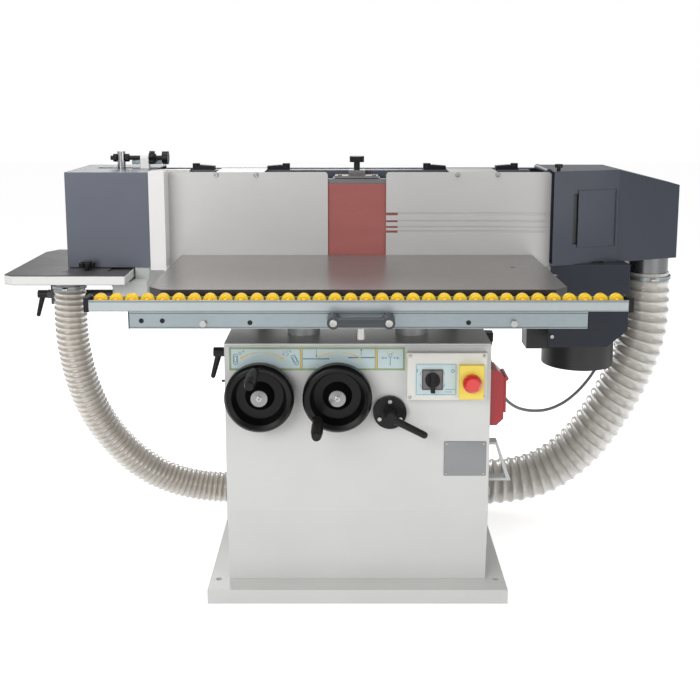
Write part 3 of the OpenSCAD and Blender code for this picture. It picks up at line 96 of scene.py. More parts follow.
view = {"place": (-0.018, -2.475, 1.212), "pitch": 8.9, "lens": 51.43, "sensor": 36, "shiftY": -0.15,
        "near": 0.05, "far": 60}
lamps = {"keyLamp": {"place": (-1.6, -3.1, 1.9), "target": (0, 0, 0.62), "size": (2.2, 1.6), "watts": 53},
         "fillLamp": {"place": (2.4, -2.4, 1.2), "target": (0.1, 0, 0.5), "size": (1.8, 1.6), "watts": 17},
         "topLamp": {"place": (0, -0.3, 3.2), "target": (0, 0, 0), "size": (2.6, 1.6), "watts": 34},
         "rearLamp": {"place": (-0.6, 2.8, 2.2), "target": (0, 0.2, 0.6), "size": (2, 1.4), "watts": 26}}
studio = {"floorReach": 14, "floorTone": (0.86, 0.86, 0.86, 1), "bounceTone": (0.80, 0.80, 0.80, 1),
          "floorGlow": 0.62, "ambient": 0.42}


def makeCamera(s):
    lens = bpy.data.cameras.new("photoCamera")
    lens.lens = s["lens"]
    lens.sensor_width = s["sensor"]
    lens.sensor_height = s["sensor"]
    lens.shift_y = s["shiftY"]
    lens.clip_start = s["near"]
    lens.clip_end = s["far"]
    holder = bpy.data.objects.new("photoCamera", lens)
    holder.location = s["place"]
    holder.rotation_euler = (math.radians(90 - s["pitch"]), 0, 0)
    scene.collection.objects.link(holder)
    scene.camera = holder


def makeLamp(name, s):
    data = bpy.data.lights.new(name, "AREA")
    data.shape = "RECTANGLE"
    data.size, data.size_y = s["size"]
    data.energy = s["watts"]
    holder = bpy.data.objects.new(name, data)
    holder.location = s["place"]
    gaze = np.array(s["target"]) - np.array(s["place"])
    turn = math.atan2(gaze[1], gaze[0]) - math.pi / 2
    tip = math.atan2(math.hypot(gaze[0], gaze[1]), -gaze[2])
    holder.rotation_euler = (tip, 0, turn)
    scene.collection.objects.link(holder)


def makeFloorWhite(s):
    # a pale surface that the camera, mirrors and glass see as white, with the object's shadow left on it
    made = bpy.data.materials.new("floorPale")
    made.use_nodes = True
    tree = made.node_tree
    tree.nodes.clear()
    lit = placed(tree, "BsdfDiffuse", {"Color": s["floorTone"]})
    glow = placed(tree, "Emission", {"Strength": s["floorGlow"]})
    seen = placed(tree, "AddShader", {0: lit.outputs[0], 1: glow.outputs[0]})
    rays = placed(tree, "LightPath").outputs
    direct = maths(tree, "MAXIMUM", rays["Is Camera Ray"], rays["Is Glossy Ray"])
    direct = maths(tree, "MAXIMUM", direct, rays["Is Transmission Ray"])
    plain = placed(tree, "BsdfDiffuse", {"Color": s["bounceTone"]})
    choice = placed(tree, "MixShader", {"Fac": direct, 1: plain.outputs[0], 2: seen.outputs[0]})
    placed(tree, "OutputMaterial", {"Surface": choice.outputs[0]})
    return made


def makeFloor(s):
    mesh = bpy.data.meshes.new("floor")
    corners = np.array([[-1, -1, 0], [1, -1, 0], [1, 1, 0], [-1, 1, 0]], float) * s["floorReach"]
    mesh.from_pydata(corners.tolist(), [], [(0, 1, 2, 3)])
    mesh.materials.append(makeFloorWhite(s))
    floor = bpy.data.objects.new("floor", mesh)
    scene.collection.objects.link(floor)


def makeWorld(s):
    # plain white behind everything for the camera, a weaker white as light
    world = bpy.data.worlds.new("studio")
    scene.world = world
    world.use_nodes = True
    tree = world.node_tree
    tree.nodes.clear()
    light = placed(tree, "Background", {"Color": white, "Strength": s["ambient"]}).outputs[0]
    seen = placed(tree, "Background", {"Color": white, "Strength": 1}).outputs[0]
    rays = placed(tree, "LightPath").outputs
    choice = placed(tree, "MixShader", {"Fac": rays["Is Camera Ray"], 1: light, 2: seen})
    placed(tree, "OutputWorld", {"Surface": choice.outputs[0]})


makeCamera(view)
for lampName, lamp in lamps.items():
    makeLamp(lampName, lamp)
scene.view_settings.view_transform = "Standard"
makeFloor(studio)
makeWorld(studio)
print("camera, floor and lamps made")


# shared effects: groups that put out colours, masks and heights; each noise is (scale, detail, roughness)

effects = {
    "paint": {"start": {"Colour": (0.5, 0.5, 0.5, 1), "Dark": (0.3, 0.3, 0.3, 1), "Blotch": 0.3,
                        "Grain Scale": 400, "Roughness": 0.4, "Spread": 0.1},
              "broad": (4.5, 4), "fineDetail": 2, "drift": (22, 5), "softMin": 0.1},
    "brush": {"start": {"Colour": (0.6, 0.6, 0.6, 1), "Dark": (0.3, 0.3, 0.3, 1), "Cloud": 0.4,
                        "Stretch": (1, 40, 40), "Scale": 12, "Roughness": 0.35, "Spread": 0.2},
              "markDetail": (5, 0.7), "cloud": (7, 6, 0.65), "markShare": 0.45, "cloudShare": 0.55},
    "edge": {"start": {"Width": 0.002, "Amount": 0.5}, "samples": 4, "gain": 4, "broken": (60, 4),
             "limit": 0.46},
    "dust": {"start": {"Colour": (0.5, 0.5, 0.5, 1), "Dust": (0.45, 0.38, 0.28, 1), "Amount": 0.1},
             "fall": 3, "lowShare": 0.5, "upShare": 0.7, "patch": (26, 7, 0.7)},
    "grit": {"start": {"Colour": (0.4, 0.15, 0.12, 1), "Dark": (0.2, 0.06, 0.05, 1), "Grain Scale": 1500,
                       "Roughness": 0.7},
             "speckPower": 1.6, "speckShare": 0.7, "stretch": (1, 6, 6), "patch": (5, 5),
             "patchShare": 0.4, "heightShare": 0.15}}


def colour(red, green, blue):
    # screen values 0 to 255 turned into the shader's linear colour
    share = np.array([red, green, blue], float) / 255
    linear = np.where(share <= 0.04045, share / 12.92, ((share + 0.055) / 1.055) ** 2.4)
    return (*linear.tolist(), 1)


def newGroup(name, starts, results):
    # a group with named sockets: a start value of 1, 3 or 4 numbers makes a Float, Vector or Color input
    group = bpy.data.node_groups.new(name, "ShaderNodeTree")
    kinds = {1: "Float", 3: "Vector", 4: "Color"}
    for label, start in starts.items():
        kind = "NodeSocket" + kinds[np.size(start)]
        group.interface.new_socket(name=label, in_out="INPUT", socket_type=kind).default_value = start
    for label in results:
        kind = "NodeSocket" + ("Color" if label == "Colour" else "Float")
        group.interface.new_socket(name=label, in_out="OUTPUT", socket_type=kind)
    return group, group.nodes.new("NodeGroupInput").outputs, group.nodes.new("NodeGroupOutput").inputs


def blendColours(tree, share, first, second):
    # mix two colours; each of the three is a socket or a value
    node = tree.nodes.new("ShaderNodeMix")
    node.data_type = "RGBA"
    for label, value in (("Factor", share), ("A", first), ("B", second)):
        feed(tree, next(s for s in node.inputs if s.name == label and s.enabled), value)
    return next(s for s in node.outputs if s.enabled)


def noiseAt(tree, place, scale, detail=3, rough=0.55):
    # noise value, 0 to 1, at a coordinate socket
    feeds = {"Vector": place, "Scale": scale, "Detail": detail, "Roughness": rough}
    return placed(tree, "TexNoise", feeds).outputs[0]


def stretched(tree, place, share):
    # coordinates multiplied by a vector socket or value
    node = placed(tree, "VectorMath", {0: place, 1: share})
    node.operation = "MULTIPLY"
    return node.outputs[0]


def objectPlace(tree):
    return placed(tree, "TexCoord").outputs["Object"]


def upShare(tree):
    # the third number of the face's normal: 1 looks up, 0 is a wall
    normal = placed(tree, "NewGeometry").outputs["Normal"]
    return placed(tree, "SeparateXYZ", {0: normal}).outputs["Z"]


def makePaintGroup(s):
    # paint or moulding: broad blotches in the colour, fine orange peel in the height
    group, ins, outs = newGroup("paintSurface", s["start"], ("Colour", "Roughness", "Height"))
    place = objectPlace(group)
    broad = maths(group, "SMOOTH_MIN", noiseAt(group, place, *s["broad"]), 1, s["softMin"])
    share = times(group, broad, ins["Blotch"])
    feed(group, outs["Colour"], blendColours(group, share, ins["Colour"], ins["Dark"]))
    drift = times(group, minus(group, noiseAt(group, place, *s["drift"]), 0.5), ins["Spread"])
    feed(group, outs["Roughness"], plus(group, ins["Roughness"], drift))
    feed(group, outs["Height"], noiseAt(group, place, ins["Grain Scale"], s["fineDetail"]))
    return group


def makeBrushGroup(s):
    # ground or rolled metal: long scratches along one direction with a cloudy tone under them
    group, ins, outs = newGroup("brushedSurface", s["start"], ("Colour", "Roughness", "Height"))
    place = objectPlace(group)
    marks = noiseAt(group, stretched(group, place, ins["Stretch"]), ins["Scale"], *s["markDetail"])
    cloud = noiseAt(group, place, *s["cloud"])
    both = plus(group, times(group, marks, s["markShare"]), times(group, cloud, s["cloudShare"]))
    share = times(group, both, ins["Cloud"])
    feed(group, outs["Colour"], blendColours(group, share, ins["Colour"], ins["Dark"]))
    drift = times(group, minus(group, marks, 0.5), ins["Spread"])
    feed(group, outs["Roughness"], plus(group, ins["Roughness"], drift))
    feed(group, outs["Height"], marks)
    return group


def makeEdgeGroup(s):
    # rubbed edges: where the rounded normal leaves the face's own one, broken up by noise
    group, ins, outs = newGroup("edgeWear", s["start"], ("Mask",))
    soft = placed(group, "Bevel", {"Radius": ins["Width"]})
    soft.samples = s["samples"]
    own = placed(group, "NewGeometry").outputs["Normal"]
    likeness = placed(group, "VectorMath", {0: soft.outputs["Normal"], 1: own})
    likeness.operation = "DOT_PRODUCT"
    bare = times(group, minus(group, 1, likeness.outputs["Value"]), s["gain"])
    broken = maths(group, "GREATER_THAN", noiseAt(group, objectPlace(group), *s["broken"]), s["limit"])
    rubbed = maths(group, "MINIMUM", times(group, bare, broken), 1)
    feed(group, outs["Mask"], times(group, rubbed, ins["Amount"]))
    return group


def makeDustGroup(s):
    # sawdust and handling: more on faces that look up and towards the floor
    group, ins, outs = newGroup("workshopDust", s["start"], ("Colour",))
    place = objectPlace(group)
    high = times(group, placed(group, "SeparateXYZ", {0: place}).outputs["Z"], s["fall"])
    low = maths(group, "MAXIMUM", minus(group, 1, high), 0)
    up = maths(group, "MAXIMUM", upShare(group), 0)
    both = plus(group, times(group, low, s["lowShare"]), times(group, up, s["upShare"]))
    share = times(group, both, noiseAt(group, place, *s["patch"]))
    amount = times(group, share, ins["Amount"])
    feed(group, outs["Colour"], blendColours(group, amount, ins["Colour"], ins["Dust"]))
    return group


def makeGritGroup(s):
    # abrasive cloth: close-set grains from a cell pattern, in two tones, with broader worn patches
    group, ins, outs = newGroup("gritSurface", s["start"], ("Colour", "Roughness", "Height"))
    place = objectPlace(group)
    away = placed(group, "TexVoronoi", {"Vector": place, "Scale": ins["Grain Scale"]}).outputs["Distance"]
    height = minus(group, 1, away)
    speck = times(group, maths(group, "POWER", away, s["speckPower"]), s["speckShare"])
    patch = times(group, noiseAt(group, stretched(group, place, s["stretch"]), *s["patch"]), s["patchShare"])
    feed(group, outs["Colour"], blendColours(group, plus(group, speck, patch), ins["Colour"], ins["Dark"]))
    feed(group, outs["Roughness"], minus(group, ins["Roughness"], times(group, height, s["heightShare"])))
    feed(group, outs["Height"], height)
    return group


groups = {"paint": makePaintGroup(effects["paint"]), "brush": makeBrushGroup(effects["brush"]),
          "edge": makeEdgeGroup(effects["edge"]), "dust": makeDustGroup(effects["dust"]),
          "grit": makeGritGroup(effects["grit"])}
print("shared effects made:", len(groups))


# finishes: base and dark tones as screen values, then roughness and so on in the order of the three makers

def paint(base, dark, rough, grain, bump, soft, **more):
    return {"kind": "paint", "base": base, "dark": dark, "rough": rough, "grain": grain, "bump": bump,
            "soft": soft, **more}


def grit(base, dark, rough, grain, bump, soft):
    return paint(base, dark, rough, grain, bump, soft) | {"kind": "grit"}


def brush(base, dark, rough, metal, stretch, bump, soft, **more):
    return {"kind": "brush", "base": base, "dark": dark, "rough": rough, "metal": metal, "stretch": stretch,
            "bump": bump, "soft": soft, **more}


looks = {
    "cabinet_paint": paint((223, 223, 221), (207, 208, 207), 0.36, 260, 0.06, 0.0022, coat=0.25, wear=0.1,
                           dust=0.1),
    "cap_steel": brush((214, 216, 216), (160, 162, 163), 0.42, 0.45, (2, 60, 60), 0.05, 0.001, dust=0.5),
    "dark_panel": paint((62, 62, 66), (44, 44, 48), 0.45, 500, 0.05, 0.001, wear=0.2),
    "printed_plate": brush((147, 148, 149), (115, 116, 118), 0.36, 0.7, (2, 40, 90), 0.03, 0.0006),
    "box_plastic": paint((240, 239, 233), (226, 224, 216), 0.46, 900, 0.1, 0.0018, dust=0.12),
    "stop_yellow": paint((252, 232, 100), (246, 214, 62), 0.3, 700, 0.04, 0.002, coat=0.3),
    "stop_red": paint((238, 62, 56), (216, 36, 40), 0.24, 500, 0.02, 0.002, coat=0.5),
    "inlet_red": paint((178, 24, 34), (140, 14, 24), 0.3, 600, 0.04, 0.002, coat=0.3),
    "bracket_grey": paint((206, 208, 206), (186, 188, 186), 0.42, 300, 0.05, 0.0015, wear=0.2, dust=0.15),
    "collector_grey": paint((116, 122, 132), (92, 97, 106), 0.42, 300, 0.06, 0.0015, wear=0.2, dust=0.4),
    "black_plastic": paint((30, 30, 32), (19, 19, 21), 0.36, 1100, 0.1, 0.0012, shine=0.22, dust=0.1),
    "trunnion_iron": paint((92, 94, 98), (62, 64, 68), 0.55, 220, 0.3, 0.0015, metal=0.4, dust=0.4),
    "table_iron": brush((150, 146, 144), (106, 102, 100), 0.3, 0.5, (1.5, 70, 70), 0.04, 0.0012,
                        cloud=0.6, flank=(62, 62, 64)),
    "saddle_iron": paint((72, 75, 79), (50, 52, 56), 0.55, 200, 0.3, 0.0015, dust=0.3),
    "shaft_steel": brush((186, 187, 189), (118, 118, 120), 0.22, 1, (30, 30, 3), 0.03, 0.0008),
    "rail_aluminium": brush((186, 192, 193), (146, 152, 155), 0.34, 0.75, (1, 90, 90), 0.03, 0.0006),
    "zinc": brush((162, 172, 175), (120, 131, 136), 0.36, 0.8, (4, 20, 20), 0.03, 0.0006, cloud=0.7),
    "roller_yellow": paint((255, 220, 56), (248, 198, 30), 0.28, 700, 0.03, 0.0012, coat=0.3),
    "handle_grey": paint((66, 70, 74), (46, 49, 53), 0.44, 900, 0.12, 0.001),
    "fastener_steel": brush((196, 196, 192), (140, 138, 130), 0.26, 1, (20, 20, 20), 0.04, 0.0006),
    "unit_blue": paint((84, 90, 102), (62, 67, 78), 0.4, 280, 0.07, 0.0015, wear=0.2, dust=0.3),
    "cover_blue": paint((94, 99, 112), (78, 83, 95), 0.32, 260, 0.07, 0.003, coat=0.3, wear=0.14, dust=0.14),
    "platen_steel": brush((132, 132, 134), (82, 82, 85), 0.36, 0.8, (2, 50, 50), 0.04, 0.0008),
    "guard_sheet": brush((202, 201, 199), (166, 166, 166), 0.42, 0.35, (1.5, 60, 60), 0.03, 0.0007,
                         cloud=0.5),
    "cream_paint": paint((240, 239, 238), (224, 223, 221), 0.34, 260, 0.05, 0.0016, coat=0.25, wear=0.12),
    "cuff_steel": brush((134, 135, 137), (80, 82, 85), 0.26, 0.9, (4, 4, 60), 0.05, 0.0008),
    "motor_black": paint((26, 27, 30), (16, 17, 19), 0.42, 260, 0.12, 0.001, dust=0.3),
    "abrasive": grit((184, 110, 106), (142, 76, 70), 0.72, 1500, 0.55, 0.0008),
    "aux_laminate": paint((73, 74, 79), (58, 59, 64), 0.42, 1300, 0.1, 0.001, shine=0.4, dust=0.12),
    # a darker copy of the cover paint for the right cover and its door: painted shade for the side the key
    # light reaches less
    "coverPaintedShade": paint((53, 59, 73), (43, 49, 62), 0.32, 260, 0.07, 0.003, shine=0.4, coat=0.15,
                        wear=0.12, dust=0.1),
    # a still darker copy of the cover paint for the motor skirt and the cover's return edge: painted shade
    # under and beside the cover
    "skirtPaintedShade": paint((37, 42, 53), (29, 33, 43), 0.34, 260, 0.07, 0.002, shine=0.3, wear=0.12, dust=0.1),
    "bandWhite": paint((236, 236, 234), (220, 220, 217), 0.34, 900, 0.05, 0.0006),
    "hub_bright": brush((150, 151, 150), (104, 105, 104), 0.24, 0.9, (30, 30, 30), 0.03, 0.0006),
    "copper_plate": brush((122, 104, 94), (84, 72, 66), 0.42, 0.4, (3, 40, 40), 0.06, 0.0006),
    "wheel_black": paint((17, 17, 18), (10, 10, 11), 0.3, 400, 0.03, 0.0015, shine=0.2),
    "drum_iron": brush((128, 128, 130), (86, 86, 88), 0.34, 0.8, (2, 2, 70), 0.04, 0.001)}


usual = {"shine": 0.5, "coatRough": 0.12, "blotch": 0.8, "paintSpread": 0.18, "cloud": 0.6,
         "brushSpread": 0.22, "wall": 0.6, "bare": (188, 188, 188), "samples": 6}


def placeGroup(tree, name, feeds):
    node = placed(tree, "Group")
    node.node_tree = groups[name]
    for label, value in feeds.items():
        feed(tree, node.inputs[label], value)
    return node.outputs


def newMaterial(name):
    made = bpy.data.materials.new(name)
    made.use_nodes = True
    return made, made.node_tree, made.node_tree.nodes["Principled BSDF"].inputs


def makeFinish(name, look):
    # one finish: its grain group, dust and worn edges into a Principled shader with a rounded-edge bump
    made, tree, shader = newMaterial(name)
    feeds = {"Colour": colour(*look["base"]), "Dark": colour(*look["dark"]), "Roughness": look["rough"]}
    if look["kind"] == "paint":
        feeds |= {"Blotch": usual["blotch"], "Grain Scale": look["grain"], "Spread": usual["paintSpread"]}
    elif look["kind"] == "grit":
        feeds["Grain Scale"] = look["grain"]
    else:
        feeds |= {"Cloud": look.get("cloud", usual["cloud"]), "Stretch": look["stretch"],
                  "Spread": usual["brushSpread"]}
    grain = placeGroup(tree, look["kind"], feeds)
    tone = grain["Colour"]
    if "flank" in look:
        side = maths(tree, "LESS_THAN", maths(tree, "ABSOLUTE", upShare(tree)), usual["wall"])
        tone = blendColours(tree, side, tone, colour(*look["flank"]))
    if "dust" in look:
        tone = placeGroup(tree, "dust", {"Colour": tone, "Amount": look["dust"]})["Colour"]
    if "wear" in look:
        worn = placeGroup(tree, "edge", {"Width": look["soft"], "Amount": look["wear"]})["Mask"]
        tone = blendColours(tree, worn, tone, colour(*usual["bare"]))
    rounded = placed(tree, "Bevel", {"Radius": look["soft"]})
    rounded.samples = usual["samples"]
    bump = placed(tree, "Bump", {"Strength": look["bump"], "Distance": millimetre, "Height": grain["Height"],
                                 "Normal": rounded.outputs["Normal"]})
    feeds = {"Base Color": tone, "Roughness": grain["Roughness"], "Normal": bump.outputs["Normal"],
             "Metallic": look.get("metal", 0), "Coat Weight": look.get("coat", 0),
             "Specular IOR Level": look.get("shine", usual["shine"]), "Coat Roughness": usual["coatRough"]}
    for label, value in feeds.items():
        feed(tree, shader[label], value)
    return made


finishes = {name: makeFinish(name, look) for name, look in looks.items()}


# surfaces

def smoothPath(points, steps=8):
    # a curve through the points: a cubic a stretch, whose end slopes are half its neighbours' difference
    p = np.array(points, float)
    wide = np.vstack([p[:1], p, p[-1:]])
    a, b, c, d = wide[:-3, None], wide[1:-2, None], wide[2:-1, None], wide[3:, None]
    t = np.linspace(0, 1, steps, endpoint=False)[None, :, None]
    square, cube = 2 * a - 5 * b + 4 * c - d, 3 * b - a - 3 * c + d
    curve = (2 * b + (c - a) * t + square * t ** 2 + cube * t ** 3) / 2
    return np.vstack([curve.reshape(-1, 3), p[-1:]])


def evenly(line, count):
    # the same line in equal steps of its own length; returns points, directions and the length
    run = np.concatenate([[0], np.cumsum(np.linalg.norm(np.diff(line, axis=0), axis=1))])
    at = np.linspace(0, run[-1], count)
    points = np.stack([np.interp(at, run, line[:, k]) for k in range(3)], axis=1)
    ahead = np.gradient(points, axis=0)
    return points, ahead / np.linalg.norm(ahead, axis=1)[:, None], run[-1]


def gridFaces(rows, columns, closeV, capped):
    # faces of one grid: each row is a closed ring along u, and the end rings are closed with one face each
    index = np.arange(rows * columns).reshape(rows, columns)
    nextU = np.roll(index, -1, axis=1)
    low, high = (index, np.roll(index, -1, axis=0)) if closeV else (index[:-1], index[1:])
    lowNext, highNext = (nextU, np.roll(nextU, -1, axis=0)) if closeV else (nextU[:-1], nextU[1:])
    quads = np.stack([low, lowNext, highNext, high], axis=-1).reshape(-1, 4).tolist()
    if capped and not closeV:
        quads += [index[0, ::-1].tolist(), index[-1].tolist()]
    return quads


def gridPiece(name, grids, body, finish, closeV=False, capped=True, smooth=True, sharp=None):
    # one piece from one grid of points or a list of them; an edge past sharp degrees stays hard
    grids = grids if isinstance(grids, list) else [grids]
    starts = np.cumsum([0] + [g.shape[0] * g.shape[1] for g in grids])
    faces = [[int(v + start) for v in face] for g, start in zip(grids, starts)
             for face in gridFaces(g.shape[0], g.shape[1], closeV, capped)]
    mesh = bpy.data.meshes.new(name)
    mesh.from_pydata(np.concatenate([g.reshape(-1, 3) for g in grids]).tolist(), [], faces)
    mesh.polygons.foreach_set("use_smooth", np.full(len(faces), smooth))
    if sharp is not None:
        mesh.set_sharp_from_angle(angle=math.radians(sharp))
    mesh.update()
    piece = bpy.data.objects.new(name, mesh)
    scene.collection.objects.link(piece)
    mesh.materials.append(finishes[finish])
    if body:
        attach(piece, body)
    return piece


def sweptRing(points, ahead, radii):
    # rings square to a line: centre plus radius times (side cos a + up sin a), one radius a ring and angle
    angle = np.linspace(0, 2 * np.pi, radii.shape[1], endpoint=False)
    side = np.cross(ahead, [0, 1, 0])
    side /= np.linalg.norm(side, axis=1)[:, None]
    up = np.cross(side, ahead)
    wheel = side[:, None] * np.cos(angle)[None, :, None] + up[:, None] * np.sin(angle)[None, :, None]
    return points[:, None] + wheel * radii[..., None]


# hoses and cable, on the routes that the part's source uses, in millimetres

hoses = {
    "leftHose": {
        "node": "left_hose", "ribs": 70, "crest": 43, "root": 39.5, "bore": 37, "sides": 48, "steps": 8,
        "film": (224, 215, 202), "wire": (126, 114, 96), "diameter": 0.083,
        "route": [(-767, 150, 702), (-767, 150, 660), (-767, 150, 616), (-767, 153, 560), (-762, 160, 500),
                  (-752, 172, 430), (-735, 188, 360), (-710, 205, 295), (-675, 222, 235), (-630, 240, 178),
                  (-575, 256, 130), (-515, 268, 98), (-450, 274, 80), (-385, 275, 73), (-320, 275, 72),
                  (-256, 275, 72), (-213, 275, 72), (-170, 275, 72)]},
    "rightHose": {
        "node": "right_hose", "ribs": 38, "crest": 64, "root": 59, "bore": 58, "sides": 56, "steps": 12,
        "film": (222, 217, 208), "wire": (112, 104, 92), "diameter": 0.12,
        "route": [(796, 228, 718), (796, 228, 654), (796, 228, 590), (789, 230, 530), (772, 235, 465),
                  (747, 242, 395), (718, 250, 332), (684, 258, 270), (645, 266, 212), (596, 272, 162),
                  (540, 275, 124), (478, 275, 102), (410, 275, 92), (345, 275, 90), (280, 275, 90),
                  (235, 275, 90), (190, 275, 90)]}}
hoseLook = {"glass": 0.22, "coat": 1, "coatRough": 0.12, "wirePower": 4, "wireShare": 0.75,
            "cloud": (9, 5), "shade": 0.84, "dust": 0.25, "rough": 0.18, "roughSpread": 0.14,
            "bump": 0.25, "grain": (160, 3), "ribPower": 1.4, "topRun": 0.06,
            "seamFrom": 0.6}
cable = {"radius": 4, "sides": 16, "steps": 260, "diameter": 0.008,
         "look": paint((120, 122, 128), (96, 98, 104), 0.5, 900, 0.1, 0.001),
         "route": [(330, -40, 578), (330, -40, 560), (333, -39, 540), (341, -34, 510), (354, -22, 474),
                   (372, -2, 438), (396, 26, 406), (430, 64, 378), (474, 106, 358), (522, 144, 350),
                   (570, 178, 358), (612, 208, 378), (648, 234, 406), (676, 254, 438), (694, 266, 472),
                   (700, 272, 506), (700, 272, 532), (700, 272, 553)]}


def hoseFinish(name, s, look):
    # film between the coils and darker wire under each crest, along the hose's own map: u round, v along
    made, tree, shader = newMaterial(name)
    uv = placed(tree, "UVMap")
    uv.uv_map = "lay"
    parts = placed(tree, "SeparateXYZ", {0: uv.outputs[0]}).outputs
    coil = maths(tree, "FRACT", minus(tree, times(tree, parts["Y"], s["ribs"]), parts["X"]))
    away = times(tree, maths(tree, "ABSOLUTE", minus(tree, coil, 0.5)), 2)
    wire = times(tree, maths(tree, "POWER", away, look["wirePower"]), look["wireShare"])
    place = objectPlace(tree)
    cloud = noiseAt(tree, place, *look["cloud"])
    film = blendColours(tree, cloud, colour(*s["film"]), colour(*(look["shade"] * np.array(s["film"]))))
    tone = blendColours(tree, wire, film, colour(*s["wire"]))
    tone = placeGroup(tree, "dust", {"Colour": tone, "Amount": look["dust"]})["Colour"]
    bump = placed(tree, "Bump", {"Strength": look["bump"], "Distance": millimetre,
                                 "Height": noiseAt(tree, place, *look["grain"])})
    for label, value in {"Base Color": tone, "Normal": bump.outputs["Normal"],
                         "Roughness": plus(tree, look["rough"], times(tree, cloud, look["roughSpread"])),
                         "Transmission Weight": look["glass"], "Coat Weight": look["coat"],
                         "Coat Roughness": look["coatRough"]}.items():
        feed(tree, shader[label], value)
    return made


def makeHose(name, s, look):
    # radius = root + (crest - root) times a rounded wave, which climbs one rib a turn and fades at the ends
    ribs, sides, steps = s["ribs"], s["sides"], s["steps"]
    points, ahead, length = evenly(smoothPath(s["route"]) * millimetre, ribs * steps + 1)
    along = np.linspace(0, 1, len(points))[:, None]
    aroundShare = np.linspace(0, 1, sides, endpoint=False)[None, :]
    wave = 0.5 + 0.5 * np.cos(2 * np.pi * (along * ribs - aroundShare))
    ends = np.clip(np.minimum(along, 1 - along) * ribs / 2, 0, 1)
    radii = (s["root"] + (s["crest"] - s["root"]) * wave ** look["ribPower"] * ends) * millimetre
    outer = sweptRing(points, ahead, radii)
    inner = sweptRing(points, ahead, np.full_like(radii, s["bore"] * millimetre))
    finishes[name] = hoseFinish(name, s, look)
    back = slice(None, None, -2 * steps)
    piece = gridPiece(name, np.concatenate([outer, inner[back]]), None, name, closeV=True)
    values = np.concatenate([along[:, 0], along[back, 0]])
    corners = np.empty(len(piece.data.loops), int)
    piece.data.loops.foreach_get("vertex_index", corners)
    column = (corners % sides) / sides
    seam = (column == 0) & (column.reshape(-1, 4).max(axis=1).repeat(4) > look["seamFrom"])
    turn = np.where(seam, 1, column)
    layer = piece.data.uv_layers.new(name="lay")
    layer.data.foreach_set("uv", np.stack([turn, values[corners // sides]], axis=1).ravel())
    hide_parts(s["node"])
    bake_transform(piece)
    return length


def makeCable(s):
    line, ahead, length = evenly(smoothPath(s["route"]) * millimetre, s["steps"])
    radii = np.full((s["steps"], s["sides"]), s["radius"] * millimetre)
    finishes["cableGrey"] = makeFinish("cableGrey", s["look"])
    piece = gridPiece("motorCable", sweptRing(line, ahead, radii), None, "cableGrey")
    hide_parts("motor_cable")
    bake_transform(piece)
    return length


lengths = [makeHose(hoseName, hose, hoseLook) for hoseName, hose in hoses.items()] + [makeCable(cable)]
print("hoses and cable made:", *(round(length, 3) for length in lengths))


# small shapes: revolved, plated and printed, all in millimetres

def turned(profile, centre, axis, sides=32):
    # profile points (radius, distance) revolved about a line through the centre along "x", "y" or "z"
    radius, reach = np.array(profile, float).T
    angle = np.linspace(0, 2 * np.pi, sides, endpoint=False)
    first, second = radius[:, None] * np.cos(angle), radius[:, None] * np.sin(angle)
    along = np.repeat(reach[:, None], sides, axis=1)
    order = {"x": (along, first, second), "y": (second, along, first), "z": (first, second, along)}[axis]
    return (np.stack(order, axis=-1) + np.array(centre, float)) * millimetre


def turnedAt(profile, places, axis="y", sides=28):
    return [turned(profile, place, axis, sides) for place in places]


def roundedOutline(first, second, radius, steps=6):
    # corners of a rectangle between two ranges, each a quarter circle, in turn from the low corner
    quarter = np.linspace(0, np.pi / 2, steps)
    arcs = []
    for place, (a, b) in enumerate([(first[0], second[0]), (first[1], second[0]), (first[1], second[1]),
                                    (first[0], second[1])]):
        centreA = a + radius * (1 if a == first[0] else -1)
        centreB = b + radius * (1 if b == second[0] else -1)
        turn = quarter + np.pi + place * np.pi / 2
        arcs.append(np.stack([centreA + radius * np.cos(turn), centreB + radius * np.sin(turn)], axis=1))
    return np.concatenate(arcs)


def plated(s, axis="y"):
    # a rounded rectangle carried from low to high along an axis; both rims roll in by a quarter circle
    outline, (low, high), edge = roundedOutline(*s["ranges"], s["corner"]), s["depth"], s["edge"]
    before, after = outline - np.roll(outline, 1, axis=0), np.roll(outline, -1, axis=0) - outline
    normal = before / np.linalg.norm(before, axis=1)[:, None] + after / np.linalg.norm(after, axis=1)[:, None]
    normal = np.stack([normal[:, 1], -normal[:, 0]], axis=1)
    normal /= np.maximum(np.linalg.norm(normal, axis=1)[:, None], 1e-9)
    roll = np.linspace(0, np.pi / 2, 4)
    inset = edge * np.concatenate([1 - np.sin(roll), 1 - np.sin(roll[::-1])])
    reach = np.concatenate([low + edge * (1 - np.cos(roll)), high - edge * (1 - np.cos(roll[::-1]))])
    flat = outline[None] - normal[None] * inset[:, None, None]
    along = np.repeat(reach[:, None], len(outline), axis=1)
    if axis == "y":
        return np.stack([flat[..., 0], along, flat[..., 1]], axis=-1)[:, ::-1] * millimetre
    return np.stack([flat[..., 0], flat[..., 1], along], axis=-1) * millimetre


def around(centre, reach):
    # the two ranges of a square about a centre
    return [(middle - reach, middle + reach) for middle in centre]


def inked(points, width, front, thickness=0.25):
    # a stroke on a front face: a flat bar of the given width, or widths, along points (x, z)
    line = np.array(points, float)
    ahead = np.gradient(line, axis=0)
    side = np.stack([-ahead[:, 1], ahead[:, 0]], axis=1) / np.linalg.norm(ahead, axis=1)[:, None]
    half = side * np.broadcast_to(np.array(width, float), len(line))[:, None] / 2
    corners = np.stack([line + half, line - half, line - half, line + half], axis=1)
    depth = np.broadcast_to([front, front, front - thickness, front - thickness], corners.shape[:2])
    return np.stack([corners[..., 0], depth, corners[..., 1]], axis=-1) * millimetre


def arcPoints(centre, radius, start, stop, count=18):
    # points on a circle between two angles in degrees
    angle = np.radians(np.linspace(start, stop, count))
    return np.stack([centre[0] + radius * np.cos(angle), centre[1] + radius * np.sin(angle)], axis=1)


def printed(name, strokes, ink):
    return gridPiece(name, strokes, "cabinet", ink, smooth=False)


